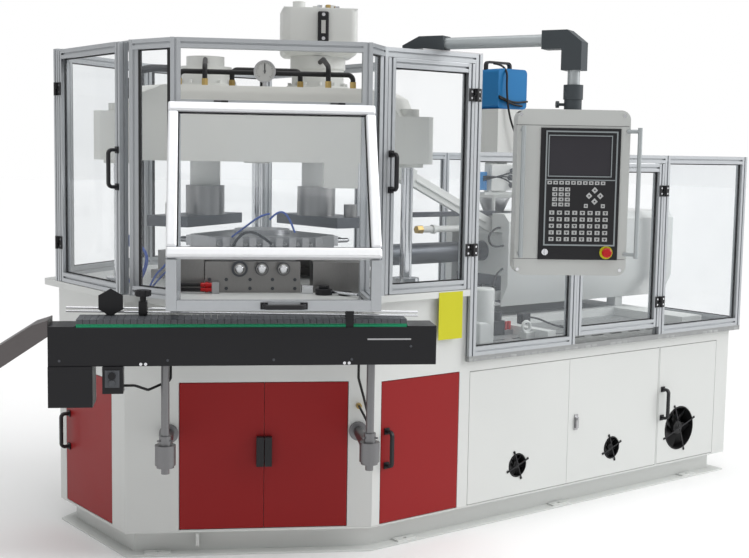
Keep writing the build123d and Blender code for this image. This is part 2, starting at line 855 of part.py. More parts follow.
def make_hood():
    half = bar_size / 2
    foot_x = hood_front_x - half
    drop = math.hypot(foot_x - hood_axis_x, hood_axis_z - hood_knee_z)
    slant = math.degrees(math.atan2(foot_x - hood_axis_x, hood_axis_z - hood_knee_z))
    pieces = []
    clearance = 14.0
    lean = Pos(hood_axis_x, 0, hood_axis_z) * Rot(0, -slant, 0)
    flap = []
    for y in (-hood_half + half, hood_half - half):
        flap.append(bar((half - 4, y, -clearance), (half - 4, y, -drop), (1, 0, 0)))
    for z in (-clearance - half, -drop + half):
        flap.append(bar((half - 4, -hood_half + bar_size, z), (half - 4, hood_half - bar_size, z), (1, 0, 0)))
    edge = bar_size - pane_grip
    flap.append(
        block(
            (half - 4 - pane_thickness / 2, half - 4 + pane_thickness / 2),
            (-hood_half + edge, hood_half - edge),
            (-drop + edge, -clearance - edge),
        )
    )
    flap_solids = [lean * piece for piece in flap]
    low, leg_top = 1108.0, hood_knee_z + 25
    for y in (-hood_half + half, hood_half - half):
        room = block((foot_x - half, foot_x + half), (y - half, y + half), (low, leg_top))
        flap_solids = [largest(piece - room) for piece in flap_solids]
        pieces.append(bar((foot_x, y, low), (foot_x, y, leg_top), (1, 0, 0)))
    span = hood_half - bar_size
    pieces.append(bar((foot_x, -span, low + half), (foot_x, span, low + half), (1, 0, 0)))
    pieces.append(Pos(foot_x + half, 35, low + half) * Rot(90, 0, 0) * bridge_handle())
    return flap_solids + pieces


def make_hood_hinges():
    # Leaves on the bay rail and knuckles on the hood for two black hinges
    fixed, moving = [], []
    for t in (-230.0, 230.0):
        middle, end = t + knuckle_height, t + 2 * knuckle_height
        barrel = rod((hood_axis_x, t, hood_axis_z), (hood_axis_x, middle, hood_axis_z), knuckle_radius)
        leaf_xs = (guard_bay, guard_bay + leaf_thickness)
        leaf = block(leaf_xs, (t, middle), (hood_axis_z - 28, hood_axis_z + 8))
        web = block((guard_bay, hood_axis_x), (t, middle), (hood_axis_z - 6, hood_axis_z + 6))
        pin = rod((hood_axis_x, middle, hood_axis_z), (hood_axis_x, end, hood_axis_z), hinge_pin_radius)
        fixed.append(barrel + leaf + web + pin)
        start = middle + seat_gap
        knuckle = rod((hood_axis_x, start, hood_axis_z), (hood_axis_x, end, hood_axis_z), knuckle_radius)
        arm_top = hood_axis_z + knuckle_radius
        arm = block((hood_axis_x, hood_axis_x + 36), (start, end), (hood_axis_z - 5, arm_top))
        bore_radius = hinge_pin_radius + running_gap
        bore = rod((hood_axis_x, middle - 1, hood_axis_z), (hood_axis_x, end + 1, hood_axis_z), bore_radius)
        moving.append(knuckle + arm - bore)
    return fixed, moving


def make_bay_side_rails():
    half = bar_size / 2
    z = table_top + half
    end = hood_front_x - bar_size - 3
    ts = (-guard_bay_half + half, guard_bay_half - half)
    return [facing(240) * bar((guard_bay, t, z), (end, t, z), (0, 0, 1)) for t in ts]


# Conveyor in front of the bay
belt_inner = bay_face + 290.0
belt_outer = bay_face + 450.0
side_left, side_right = -842.0, 630.0
slat_left, slat_right = -739.0, 514.0
side_low, side_high = 893.0, 1040.0
slat_top = 1070.0
roller_radius = 60.0
roller_z = 985.0
roller_pin = 8.0
side_plate = 4.0
support_ts = (-412.0, 384.0)
support_x = bay_face + 380.0


def make_conveyor_sides():
    shape = block((belt_inner, belt_inner + side_plate), (side_left, side_right), (side_low, side_high))
    shape += block((belt_outer - side_plate, belt_outer), (side_left, side_right), (side_low, side_high))
    shape += block((belt_inner, belt_outer), (side_left, side_left + side_plate), (side_low, side_high))
    shape += block((belt_inner, belt_outer), (side_right - side_plate, side_right), (side_low, side_high))
    for y in (-560.0, -300.0, 0.0, 300.0):
        shape += block((belt_inner, belt_outer), (y - 20, y + 20), (side_low, side_low + side_plate))
    for y in support_ts:
        shape += block((support_x - 40, support_x + 40), (y - 50, y + 50), (side_low, side_low + 8))
        shape += block((belt_inner, belt_outer), (y - 50, y + 50), (side_low, side_low + 5))
    for y in (slat_left, slat_right):
        for x in (belt_inner, belt_outer - side_plate):
            shape += rod((x, y_roller(y), roller_z), (x + side_plate, y_roller(y), roller_z), 20)
        y = y_roller(y)
        inner, outer = belt_inner + side_plate, belt_outer - side_plate
        shape += rod((inner, y, roller_z), (outer, y, roller_z), roller_pin)
    end_left = block((belt_inner, belt_outer), (side_left, slat_left - 4), (side_high, side_high + 4))
    end_right = block((belt_inner, belt_outer), (slat_right + 4, side_right), (side_high, side_high + 4))
    shape += end_left + end_right
    return facing(240) * shape


def y_roller(end):
    # Roller centres sit just inside the slatted run
    return end + (roller_radius + 8 if end < 0 else -roller_radius - 8)


def make_belt():
    inner, outer = belt_inner + side_plate + 4, belt_outer - side_plate - 4
    slats = 50
    pitch = (slat_right - slat_left) / slats
    bed = block((inner, outer), (slat_left, slat_right), (side_high, side_high + 13))
    for number in range(slats):
        low = slat_left + number * pitch
        bed += block((inner, outer), (low + 0.6, low + pitch - 0.6), (side_high + 13, slat_top))
    return facing(240) * bed


def make_roller(end):
    inner, outer = belt_inner + side_plate + 6, belt_outer - side_plate - 6
    y = y_roller(end)
    drum = rod((inner, y, roller_z), (outer, y, roller_z), roller_radius - 12)
    drum -= rod((inner - 1, y, roller_z), (outer + 1, y, roller_z), roller_pin + running_gap)
    tooth = block((inner + 30, outer - 30), (-5, 5), (roller_radius - 14, roller_radius - 6))
    for number in range(12):
        drum += Pos(0, y, roller_z) * Rot(30 * number, 0, 0) * tooth
    return facing(240) * drum


def make_guide_rails():
    # Two skewed rods over the belt, held by plates bolted inside the side panels
    near_left, near_right = bay_face + 300.0, bay_face + 440.0
    first_t, last_t = -790.0, 556.0
    slope = (near_right - near_left) / (last_t - first_t)
    rods = [rod((near_left, first_t, z), (near_right, last_t, z), 4) for z in (1098.0, 1084.0)]
    clamp_t, bracket_t, stem_t = -498.0, 291.0, -624.0
    clear_z = slat_top + 6.0
    inner, outer = belt_inner + side_plate, belt_outer - side_plate
    clamp_x = near_left + slope * (clamp_t - first_t)
    clamp = block((inner, inner + 4), (clamp_t - 16, clamp_t + 16), (side_low + 10, 1125))
    clamp += block((inner, clamp_x + 16), (clamp_t - 16, clamp_t + 16), (clear_z, 1125))
    clamp += post(clamp_x, clamp_t, 12, (1125, 1145)) + post(clamp_x, clamp_t, 26, (1145, 1170))
    bracket_x = near_left + slope * (bracket_t - first_t)
    bracket = block((outer - 4, outer), (bracket_t - 15, bracket_t + 15), (side_low + 10, 1106))
    bracket += block((bracket_x - 12, outer), (bracket_t - 15, bracket_t + 15), (clear_z, 1106))
    stem_x = near_left + slope * (stem_t - first_t)
    stem = block((inner, inner + 4), (stem_t - 16, stem_t + 16), (side_low + 10, 1150))
    stem += block((inner, stem_x + 12), (stem_t - 16, stem_t + 16), (clear_z, 1150))
    stem += block((stem_x + 12, stem_x + 18), (-673, -566), (clear_z, 1167))
    holders = [clamp, bracket, stem]
    for number, holder in enumerate(holders):
        for one in rods:
            holders[number] = holders[number] - one
    return [facing(240) * piece for piece in (*rods, *holders)]


def make_drive_boxes():
    motor = block((belt_inner + 20, belt_outer + 6), (side_left, -678), (738, side_low))
    speed = block((belt_outer - 60, belt_outer + 10), (-642, -565), (790, side_low))
    speed += rod((belt_outer + 10, -606, 860), (belt_outer + 26, -606, 860), 14)
    return [facing(240) * motor, facing(240) * speed]


def make_chute():
    thickness = 3.0
    inner, outer = belt_inner + 4, belt_outer - 4
    points = [(-1060, 945), (-900, 1048), (side_left - 2, 1066)]
    low = [(y, z - thickness) for y, z in points]
    side_view = Plane(origin=(inner, 0, 0), x_dir=(0, 1, 0), z_dir=(1, 0, 0))
    floor = extrude(side_view * make_face(Polyline(*points, *reversed(low), close=True)), outer - inner)
    cheek_points = [(-1060, 858), (-1060, 945), (-900, 1048), (side_left - 2, 1066), (side_left - 2, 1004)]
    cheek = make_face(Polyline(*cheek_points, close=True))
    near = extrude(side_view * cheek, thickness)
    far = Pos(outer - inner - thickness, 0, 0) * near
    hook = block((inner, outer), (side_left - thickness - 2, side_left), (1004, 1066))
    return facing(240) * (floor + near + far + hook)


def make_supports():
    pieces = []
    for y in support_ts:
        column = post(support_x, y, 16, (459, side_low))
        housing = post(support_x, y, 40, (494, 573)) - post(support_x, y, 16, (494, 573))
        collar = post(support_x, y, 24, (573, 609)) - post(support_x, y, 16, (573, 609))
        foot_ring = post(support_x, y, 34, (484, 494)) - post(support_x, y, 16, (484, 494))
        clamp = housing + collar + foot_ring
        for number in range(3):
            screw = Pos(support_x, y, 591) * Rot(0, 0, 60 + 120 * number) * rod((23, 0, 0), (34, 0, 0), 4)
            clamp += screw
        arm = rod((bay_face, y, 530), (support_x - 30, y, 530), 22)
        flange = rod((bay_face, y, 530), (bay_face + 14, y, 530), 40)
        pieces.append(facing(240) * (column + clamp + arm + flange))
    return pieces


# Operator panel on its swinging arm
arm_root = (322.0, -725.0)
head_axis = (610.0, -1395.0)
arm_z = 2180.0
arm_radius = 25.0
elbow_half = 38.0
root_pin_top = 2195.0
panel_turn = 235.0
case_half = 231.0
case_low, case_high = 1221.0, 1896.0
case_back, case_front = -62.0, 48.0
collar_low, collar_high_z = 1938.0, 1997.0
root_pin_radius = 20.0
neck_pin_radius = 20.0
face_ys = (-136.0, 192.0)
face_zs = (1286.0, 1821.0)
stop_y = 145.0
key_y = -109.0
switch_z = 1317.0
switch_stem = 8.0


def make_arm_socket():
    plate = block((242, step_x + bar_size), (-guard_long, -650), (guard_top, guard_top + 6))
    flange = post(*arm_root, 60, (guard_top + 6, guard_top + 8))
    pin = post(*arm_root, root_pin_radius, (guard_top + 6, root_pin_top))
    return plate + flange + pin


def make_panel_arm():
    # Root casting, tube, cast elbow, drop tube and a collar with the pin that carries the panel
    run = (head_axis[0] - arm_root[0], head_axis[1] - arm_root[1])
    reach = math.hypot(*run)
    low = guard_top + 8 + seat_gap
    side_view = Plane(origin=(0, elbow_half, 0), x_dir=(1, 0, 0), z_dir=(0, -1, 0))
    root = [(-45, low), (150, low), (150, arm_z + 32), (35, arm_z + 32), (-45, arm_z - 5)]
    shape = extrude(side_view * make_face(Polyline(*root, close=True)), 2 * elbow_half)
    shape += rod((140, 0, arm_z), (reach - 120, 0, arm_z), arm_radius)
    elbow = [
        (reach - 130, arm_z - 38),
        (reach - 130, arm_z + 38),
        (reach - 20, arm_z + 38),
        (reach + 43, arm_z - 12),
        (reach + 43, arm_z - 125),
        (reach - 43, arm_z - 125),
        (reach - 43, arm_z - 38),
    ]
    shape += extrude(side_view * make_face(Polyline(*elbow, close=True)), 2 * elbow_half)
    shape += post(reach, 0, arm_radius, (collar_high_z - 1, arm_z - 120))
    shape += post(reach, 0, 40, (collar_low, collar_high_z))
    shape += post(reach, 0, neck_pin_radius, (1905, collar_low))
    shape -= post(0, 0, root_pin_radius + running_gap, (low - 1, root_pin_top + seat_gap))
    return Pos(*arm_root, 0) * Rot(0, 0, math.degrees(math.atan2(run[1], run[0]))) * shape


def at_panel(piece):
    return Pos(*head_axis, 0) * facing(panel_turn) * piece


def make_panel_case():
    body = block((case_back, case_front), (-case_half, case_half), (case_low, case_high))
    body = fillet(body.edges().filter_by(Axis.X), 40)
    wide = case_half - 8
    cavity = block((case_back + 4, case_front - 12), (-wide, wide), (case_low + 8, case_high - 8))
    body = body - cavity
    hub = post(0, 0, 36, (case_high - 8, collar_low - seat_gap))
    hub -= post(0, 0, neck_pin_radius + running_gap, (1905 - seat_gap, collar_low))
    knob = rod((0, -36, 1917), (0, -58, 1917), 6) + rod((0, -58, 1917), (0, -70, 1917), 14)
    shape = body + hub + knob
    shape -= block(
        (case_front - 13, case_front + 1),
        (face_ys[0] + 12, face_ys[1] - 12),
        (face_zs[0] + 12, face_zs[1] - 12),
    )
    bars = []
    for y in (-212.0, 262.0):
        rail = rod((case_front + 34, y, 1295), (case_front + 34, y, 1826), 9)
        for z in (1310.0, 1811.0):
            rail += rod((case_front, min(y, case_half - 12), z), (case_front + 34, y, z), 8)
        bars.append(rail)
    return [at_panel(piece) for piece in (shape, *bars)]


def make_panel_face():
    face = case_front
    plate = block((face, face + 6), face_ys, face_zs)
    bezel = block((face + 6, face + 9), (-116, 179), (1343, 1810))
    screen_hole = block((face + 5, face + 10), (-105, 157), (1624, 1793))
    plate = plate + bezel - screen_hole
    keys = []
    for number in range(10):
        y = -96 + number * 24.3
        keys.append(block((face + 9, face + 11), (y - 9, y + 9), (1600 - 7, 1600 + 7)))
    for row in range(4):
        for column in range(3):
            y, z = -74 + column * 26.0, 1573 - row * 20.5
            keys.append(block((face + 9, face + 11), (y - 10, y + 10), (z - 7.5, z + 7.5)))
    for row in range(5):
        for column in range(8):
            y, z = -84 + column * 31.5, 1478 - row * 27.0
            keys.append(block((face + 9, face + 11), (y - 10, y + 10), (z - 8, z + 8)))
    for key in keys:
        plate += key
    for y in (stop_y, key_y):
        plate -= rod((face - 1, y, switch_z), (face + 7, y, switch_z), switch_stem + running_gap)
    return at_panel(plate)



def make_stop_button():
    face = case_front + 6
    cap = rod((face + 12, stop_y, switch_z), (face + 26, stop_y, switch_z), 20)
    cap = chamfer(cap.edges().group_by(Axis.X)[-1], 5)
    stem = rod((face - 5, stop_y, switch_z), (face + 12, stop_y, switch_z), switch_stem)
    return at_panel(cap + stem)


def make_key_switch():
    face = case_front + 6
    barrel = rod((face - 5, key_y, switch_z), (face + 9, key_y, switch_z), switch_stem)
    barrel += rod((face + seat_gap, key_y, switch_z), (face + 9, key_y, switch_z), 13)
    bow = block((face + 9, face + 26), (key_y - 2, key_y + 2), (switch_z - 12, switch_z + 12))
    return at_panel(barrel + bow)


# Injection side
cover_start, cover_end = 1370.0, 2710.0
cover_half = 250.0
cover_top = 1400.0
cover_knee = 1020.0
cover_foot = 904.0
cover_sheet = 3.0
hopper_x = 1490.0
beacon_x = 2409.0
bin_xs = (1384.0, 1645.0)
bin_half = 130.0
bin_low, bin_high = 1723.0, 1938.0
rail_y = 150.0
rail_radius = 25.0
rail_z = 960.0
barrel_axis_z = 1190.0
screw_radius = 30.0


def make_injection_bed():
    shape = Part()
    for xs in ((1208, 1264), (2240, 2408)):
        shape += block(xs, (-713, 713), (deck_top, 850))
    for ys in ((-230, -170), (170, 230)):
        shape += block((1264, 2240), ys, (deck_top, 850))
    for x in (1290.0, 2330.0):
        for y in (-rail_y, rail_y):
            shape += block((x - 30, x + 30), (y - 32, y + 32), (deck_top, 1000))
    for y in (-rail_y, rail_y):
        shape += rod((1260, y, rail_z), (2360, y, rail_z), rail_radius)
    ring_shape = Pos(1170, -600, 862) * Rot(90, 0, 0) * Torus(26, 8)
    ring_foot = block((1150, 1209), (-625, -575), (deck_top, 836))
    shape += ring_shape + ring_foot
    return shape


def make_carriage():
    # Sliding unit: saddle blocks on the rails, gearbox, hydraulic motor and the heated barrel
    shape = block((1420, 1520), (-210, 210), (1004, 1060)) + block((2080, 2200), (-210, 210), (1004, 1060))
    for x0, x1 in ((1420, 1520), (2080, 2200)):
        for y in (-rail_y, rail_y):
            shape += block((x0, x1), (y - 42, y + 42), (918, 1004))
            shape -= rod((x0 - 1, y, rail_z), (x1 + 1, y, rail_z), rail_radius + running_gap)
    shape += block((1520, 2080), (-60, 60), (1020, 1060))
    screw_z = barrel_axis_z
    shape += block((1990, 2200), (-150, 150), (1060, 1330))
    shape += rod((2200, 0, screw_z), (2430, 0, screw_z), 110)
    shape += rod((620, 0, screw_z), (1990, 0, screw_z), 55)
    shape += rod((520, 0, screw_z), (620, 0, screw_z), 38) + rod((455, 0, screw_z), (520, 0, screw_z), 18)
    shape += block((1420, 1560), (-90, 90), (1060, 1285))
    shape -= rod((454, 0, screw_z), (700, 0, screw_z), 5)
    shape -= rod((660, 0, screw_z), (2150, 0, screw_z), screw_radius + running_gap)
    shape -= post(hopper_x, 0, 26, (screw_z, 1290))
    return shape



def make_screw():
    # Root with raised flights ahead of the throat, and a journal in the gearbox
    core = rod((675, 0, barrel_axis_z), (2148, 0, barrel_axis_z), 20)
    core += rod((2040, 0, barrel_axis_z), (2148, 0, barrel_axis_z), screw_radius)
    pitch = 60.0
    for number in range(11):
        x = 720 + number * pitch
        core += rod((x, 0, barrel_axis_z), (x + 7, 0, barrel_axis_z), screw_radius)
    return core


def make_cover():
    # Sheet hood over the sliding unit, open underneath and at the hopper
    chamfer_size = 40.0
    outer = [
        (-cover_half + 60, cover_foot),
        (-cover_half, cover_knee),
        (-cover_half, cover_top - chamfer_size),
        (-cover_half + chamfer_size, cover_top),
        (cover_half - chamfer_size, cover_top),
        (cover_half, cover_top - chamfer_size),
        (cover_half, cover_knee),
        (cover_half - 60, cover_foot),
    ]
    plane = Plane(origin=(cover_start, 0, 0), x_dir=(0, 1, 0), z_dir=(1, 0, 0))
    solid = extrude(plane * make_face(Polyline(*outer, close=True)), cover_end - cover_start)
    inner = [
        (-cover_half + 60 + cover_sheet, cover_foot - 1),
        (-cover_half + cover_sheet, cover_knee),
        (-cover_half + cover_sheet, cover_top - chamfer_size - 1),
        (-cover_half + chamfer_size + 1, cover_top - cover_sheet),
        (cover_half - chamfer_size - 1, cover_top - cover_sheet),
        (cover_half - cover_sheet, cover_top - chamfer_size - 1),
        (cover_half - cover_sheet, cover_knee),
        (cover_half - 60 - cover_sheet, cover_foot - 1),
    ]
    inner_plane = Plane(origin=(cover_start + cover_sheet, 0, 0), x_dir=(0, 1, 0), z_dir=(1, 0, 0))
    inner_face = inner_plane * make_face(Polyline(*inner, close=True))
    shape = solid - extrude(inner_face, cover_end - cover_start - 2 * cover_sheet)
    shape -= block((cover_start - 1, cover_start + 10), (-200, 200), (cover_foot - 1, 1300))
    shape -= block((cover_start - 1, 1650), (-120, 120), (1250, cover_top + 1))
    for side in (-1, 1):
        stay = tuple(sorted((side * 150, side * (cover_half - 1))))
        shape += block((2080, 2100), stay, (1200, 1230))
    return shape


def make_beacon():
    base = post(beacon_x, 0, 50, (cover_top, cover_top + 28))
    lens = post(beacon_x, 0, 40, (cover_top + 28, 1572))
    return [base, chamfer(lens.edges().group_by(Axis.Z)[-1], 14)]


def make_hopper_frame():
    shape = block((1400, 1580), (-95, 95), (1480, 1497))
    for y in (-85.0, 85.0):
        for x in (1410.0, 1570.0):
            shape += post(x, y, 9, (1300, 1680))
    shape += block((1390, 1590), (-100, 100), (1285, 1302))
    shape -= post(hopper_x, 0, 27, (1280, 1310))
    shape -= post(hopper_x, 0, 57, (1479, 1498))
    shelf = block(bin_xs, (-bin_half, bin_half), (1680, bin_low))
    shape += shelf - post(hopper_x + 10, 0, 100, (1679, bin_low + 1))
    return shape


gate_z = (1340.0, 1346.0)
gate_half = 60.0
gate_box = (1330.0, 1358.0)
throat_radius = 37.0


def make_hopper():
    # Square bin, steel cone, gate box and throat
    cone_low, cone_high = 1372.0, 1476.0
    sheet = 3.0
    rim = 85.0
    cones = []
    for extra in (sheet, 0):
        low_ring = Pos(hopper_x, 0, cone_low) * Circle(throat_radius + extra)
        high_ring = Pos(hopper_x, 0, cone_high) * Circle(rim + extra)
        cones.append(loft([low_ring, high_ring]))
    cone = cones[0] - cones[1]
    drum = post(hopper_x, 0, rim + sheet, (cone_high, 1480))
    pipe = post(hopper_x, 0, throat_radius + sheet, (1302, cone_low))
    housing = block((hopper_x - 75, hopper_x + 75), (-75, 75), gate_box)
    throat = pipe + housing + drum
    throat -= post(hopper_x, 0, throat_radius, (1301, cone_low + 1))
    throat -= post(hopper_x, 0, rim, (cone_high - 1, 1481))
    throat -= block(
        (hopper_x - gate_half - seat_gap, hopper_x + gate_half + seat_gap),
        (-80, 80),
        (gate_z[0] - seat_gap, gate_z[1] + seat_gap),
    )
    low_x, high_x = bin_xs
    wide = bin_half - sheet
    bin_outer = block(bin_xs, (-bin_half, bin_half), (bin_low, bin_high))
    bin_inner = block((low_x + sheet, high_x - sheet), (-wide, wide), (bin_low - 1, bin_high + 1))
    chimney = post(hopper_x + 10, 0, 60, (1497, 1680)) - post(hopper_x + 10, 0, 57, (1496, 1681))
    return [cone + throat, bin_outer - bin_inner, chimney]


def make_slide_gate():
    plate = block((hopper_x - gate_half, hopper_x + gate_half), (-190, 60), gate_z)
    plate -= post(hopper_x, 0, throat_radius, (gate_z[0] - 1, gate_z[1] + 1))
    z = sum(gate_z) / 2
    pull = rod((hopper_x, -190, z), (hopper_x, -205, z), 8)
    return plate + pull + rod((hopper_x, -205, z), (hopper_x, -222, z), 14)


def make_loader():
    body = block((1390, 1600), (-120, 120), (1953, 2166))
    body = fillet(body.edges().filter_by(Axis.Y), 24)
    plinth_block = block(bin_xs, (-bin_half, bin_half), (bin_high, 1953))
    handle = FilletPolyline((1408, 0, 2160), (1408, 0, 2205), (1582, 0, 2205), (1582, 0, 2160), radius=18)
    grip = sweep(Plane(origin=handle @ 0, z_dir=handle % 0) * Rectangle(12, 24), path=handle)
    return body + grip + plinth_block


# Hydraulic unit in the right bay of the base
def make_hydraulics():
    tank = block((1250, 2250), (-330, 560), (plinth_height, 470))
    tank -= block((1256, 2244), (-324, 554), (plinth_height + 6, 464))
    motor = rod((1450, 120, 620), (1850, 120, 620), 130)
    feet = block((1480, 1820), (20, 220), (470, 500))
    pump = rod((1850, 120, 620), (2060, 120, 620), 70)
    valves = block((1400, 1700), (300, 480), (470, 610))
    return tank + motor + feet + pump + valves


latch_y, latch_z = 1280.0, 430.0
latch_plate = 4.0
latch_pin = 5.0


def make_latch():
    # Lever that turns on the pin of the latch plate of the second front door
    lever_xs = (long_face + latch_plate + seat_gap, long_face + 14)
    lever = block(lever_xs, (latch_y - 8, latch_y + 8), (385, 440))
    lever -= rod((long_face, latch_y, latch_z), (long_face + 20, latch_y, latch_z), latch_pin + running_gap)
    return facing(270) * lever


def make_latch_plate():
    plate = block((long_face, long_face + latch_plate), (latch_y - 12, latch_y + 12), (375, 452))
    start = long_face + latch_plate
    return plate + rod((start, latch_y, latch_z), (start + 14, latch_y, latch_z), latch_pin)


def make_base_door(name):
    side, face, first, last, right, low, high = base_doors[name]
    shape = block((face - door_thickness, face), (first, last), (low, high))
    shape -= block(
        (face - door_thickness - 1, face - door_skin),
        (first + door_rim, last - door_rim),
        (low + door_rim, high - door_rim),
    )
    x, y = pivot_place(name)
    for zs in ((low - 1, low + pivot_length), (high - pivot_length, high + 1)):
        shape -= post(x, y, pivot_radius + running_gap, zs)
    extras = []
    for fan_name, (door, centre, z, opening, depth) in fans.items():
        if door != name:
            continue
        radius = opening / 2
        shape -= rod((face - door_thickness - 1, centre, z), (face + 1, centre, z), radius)
        extras.extend(fan_frame(face, centre, z, radius, depth))
    if name in base_pulls:
        y, z = base_pulls[name]
        extras.append(Pos(face, y, z) * bridge_handle())
    if name in grip_ys:
        extras.append(block((face, face + 30), grip_ys[name], (388, 513)))
    if name == "front_door_2":
        extras.append(make_latch_plate())
    return [facing(side) * piece for piece in (shape, *extras)]


def fan_frame(face, centre, z, radius, depth):
    # Square housing behind the skin, and the wire guard in front
    back = face - door_skin
    size = radius + 8
    housing = block((back - depth, back), (centre - size, centre + size), (z - size, z + size))
    housing -= rod((back - depth - 1, centre, z), (back + 1, centre, z), radius)
    hub_radius = radius * 0.3
    motor = rod((back - depth, centre, z), (back - depth + 10, centre, z), hub_radius)
    for number in range(4):
        spoke = block((-3, 3), (-3, 3), (hub_radius - 1, radius + 4))
        motor += Pos(back - depth + 3, centre, z) * Rot(90 * number + 45, 0, 0) * spoke
    motor += rod((back - depth + 10, centre, z), (back - 4, centre, z), fan_pin_radius)
    wire = Part()
    ring_pitch = 18.0
    rings = int(radius / ring_pitch)
    for number in range(rings):
        ring = radius * (number + 1) / (rings + 0.3)
        wire += rod((face, centre, z), (face + 3, centre, z), ring + 1.6)
        wire -= rod((face - 1, centre, z), (face + 4, centre, z), ring - 1.6)
    for turn in (20, 110, 200, 290):
        strut = block((3, 6), (-3, 3), (0, radius + 12)) + block((0, 4), (-5, 5), (radius + 6, radius + 16))
        wire += Pos(face, centre, z) * Rot(turn, 0, 0) * strut
    return [housing + motor, wire]


def make_impeller(name):
    _, centre, z, opening, depth = fans[name]
    radius = opening / 2 - fan_tip_gap
    hub_radius = opening / 2 * 0.3
    back = long_face - door_skin
    low, high = back - depth + 11, back - 6
    hub = rod((low, centre, z), (high, centre, z), hub_radius)
    blades = 7
    for number in range(blades):
        angle = 360 / blades * number
        half_chord = (high - low) * 0.55
        blade = Rot(0, 0, 35) * block((-1.2, 1.2), (-half_chord, half_chord), (hub_radius - 2, radius))
        hub += Pos((low + high) / 2, centre, z) * Rot(angle, 0, 0) * blade
    hub -= rod((low - 1, centre, z), (high + 1, centre, z), fan_pin_radius + running_gap)
    keep = rod((low, centre, z), (high, centre, z), radius)
    return facing(270) * (hub & keep)


def make_hinge_leaves():
    pieces = []
    for name, (side, face, first, last, right, low, high) in base_doors.items():
        x, y = pivot_place(name)
        for zs in ((low - door_gap, low + pivot_length - 1), (high - pivot_length + 1, high + door_gap)):
            pieces.append(facing(side) * post(x, y, pivot_radius, zs))
    for name in guard_doors:
        pieces.extend(guard_door_parts(name)[1])
    for piece in make_hood_hinges()[0]:
        pieces.append(facing(240) * piece)
    return pieces


write("plinth", make_plinth())
write("cabinet", make_cabinet())
write("table_top", make_table())
write("deck_floor", make_deck())
write("hydraulic_unit", make_hydraulics())
write("guard_frame", *make_guard(), make_left_top_rail(), *make_deck_guard(), *make_bay_side_rails())
write("guard_panes", *make_panes())
write("hinge_leaves", *make_hinge_leaves())
write("tie_columns", *make_tie_columns())
write("crosshead", make_crosshead())
tall_cylinder = make_clamp_cylinder(injection_station, True) + make_tank()
write("clamp_cylinders", tall_cylinder, make_clamp_cylinder(blow_station, False))
write("lower_tooling", *make_lower_tooling())
write("index_housing", make_index_housing())
write("hose_fittings", *make_hose_fittings())
write("hoses", *make_hoses())
write("cables", *make_cables())
write("pressure_gauge", make_gauge())
write("gauge_needle", make_needle())
write("conveyor_sides", make_conveyor_sides())
write("conveyor_belt", make_belt())
write("drive_roller", make_roller(slat_left))
write("idler_roller", make_roller(slat_right))
write("guide_rails", *make_guide_rails())
write("drive_boxes", *make_drive_boxes())
write("bottle_chute", make_chute())
write("conveyor_supports", *make_supports())
write("arm_socket", make_arm_socket())
write("panel_arm", make_panel_arm())
write("panel_case", *make_panel_case())
write("panel_face", make_panel_face())
write("stop_button", make_stop_button())
write("key_switch", make_key_switch())
write("injection_bed", make_injection_bed())
write("injection_carriage", make_carriage())
write("injection_screw", make_screw())
write("unit_cover", make_cover())
write("beacon", *make_beacon())
write("hopper_frame", make_hopper_frame())
write("hopper", *make_hopper())
write("slide_gate", make_slide_gate())
write("loader", make_loader())
for name in base_doors:
    write(name, *make_base_door(name))
for name in guard_doors:
    write(name, *guard_door_parts(name)[0])
write("hood_frame", *[facing(240) * piece for piece in (*make_hood(), *make_hood_hinges()[1])])
write("turret", make_turret())
write("upper_mould_injection", make_upper_mould(injection_station))
write("upper_mould_blow", make_upper_mould(blow_station))
write("stripper_plate", make_stripper_plate())
for name in fans:
    write(name, make_impeller(name))
write("door_latch", make_latch())
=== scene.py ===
import json
import math

import bmesh
import bpy
from mathutils import Matrix, Vector


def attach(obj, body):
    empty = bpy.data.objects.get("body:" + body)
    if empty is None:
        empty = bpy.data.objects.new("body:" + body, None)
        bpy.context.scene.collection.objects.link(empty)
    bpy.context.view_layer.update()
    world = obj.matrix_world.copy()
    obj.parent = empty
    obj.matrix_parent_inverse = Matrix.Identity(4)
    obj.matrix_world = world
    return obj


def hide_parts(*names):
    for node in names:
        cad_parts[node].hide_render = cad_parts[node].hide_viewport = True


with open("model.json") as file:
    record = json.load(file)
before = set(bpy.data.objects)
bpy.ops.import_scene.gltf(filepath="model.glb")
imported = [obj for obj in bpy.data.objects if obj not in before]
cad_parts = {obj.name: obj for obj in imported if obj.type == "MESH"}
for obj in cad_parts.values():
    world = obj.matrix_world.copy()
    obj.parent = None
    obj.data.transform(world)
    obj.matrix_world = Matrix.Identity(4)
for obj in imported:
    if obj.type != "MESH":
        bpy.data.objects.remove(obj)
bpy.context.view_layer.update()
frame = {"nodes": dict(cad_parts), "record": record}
print("frame loaded")


class Value:
    # a node socket that takes part in plain arithmetic
    def __init__(self, tree, socket):
        self.tree = tree
        self.socket = socket

    def combine(self, operation, first, second):
        node = self.tree.nodes.new("ShaderNodeMath")
        node.operation = operation
        for slot, item in zip(node.inputs, (first, second)):
            if isinstance(item, Value):
                self.tree.links.new(item.socket, slot)
            else:
                slot.default_value = item
        return Value(self.tree, node.outputs[0])

    def __add__(self, other):
        return self.combine("ADD", self, other)

    def __radd__(self, other):
        return self.combine("ADD", other, self)

    def __sub__(self, other):
        return self.combine("SUBTRACT", self, other)

    def __rsub__(self, other):
        return self.combine("SUBTRACT", other, self)

    def __mul__(self, other):
        return self.combine("MULTIPLY", self, other)

    def __rmul__(self, other):
        return self.combine("MULTIPLY", other, self)


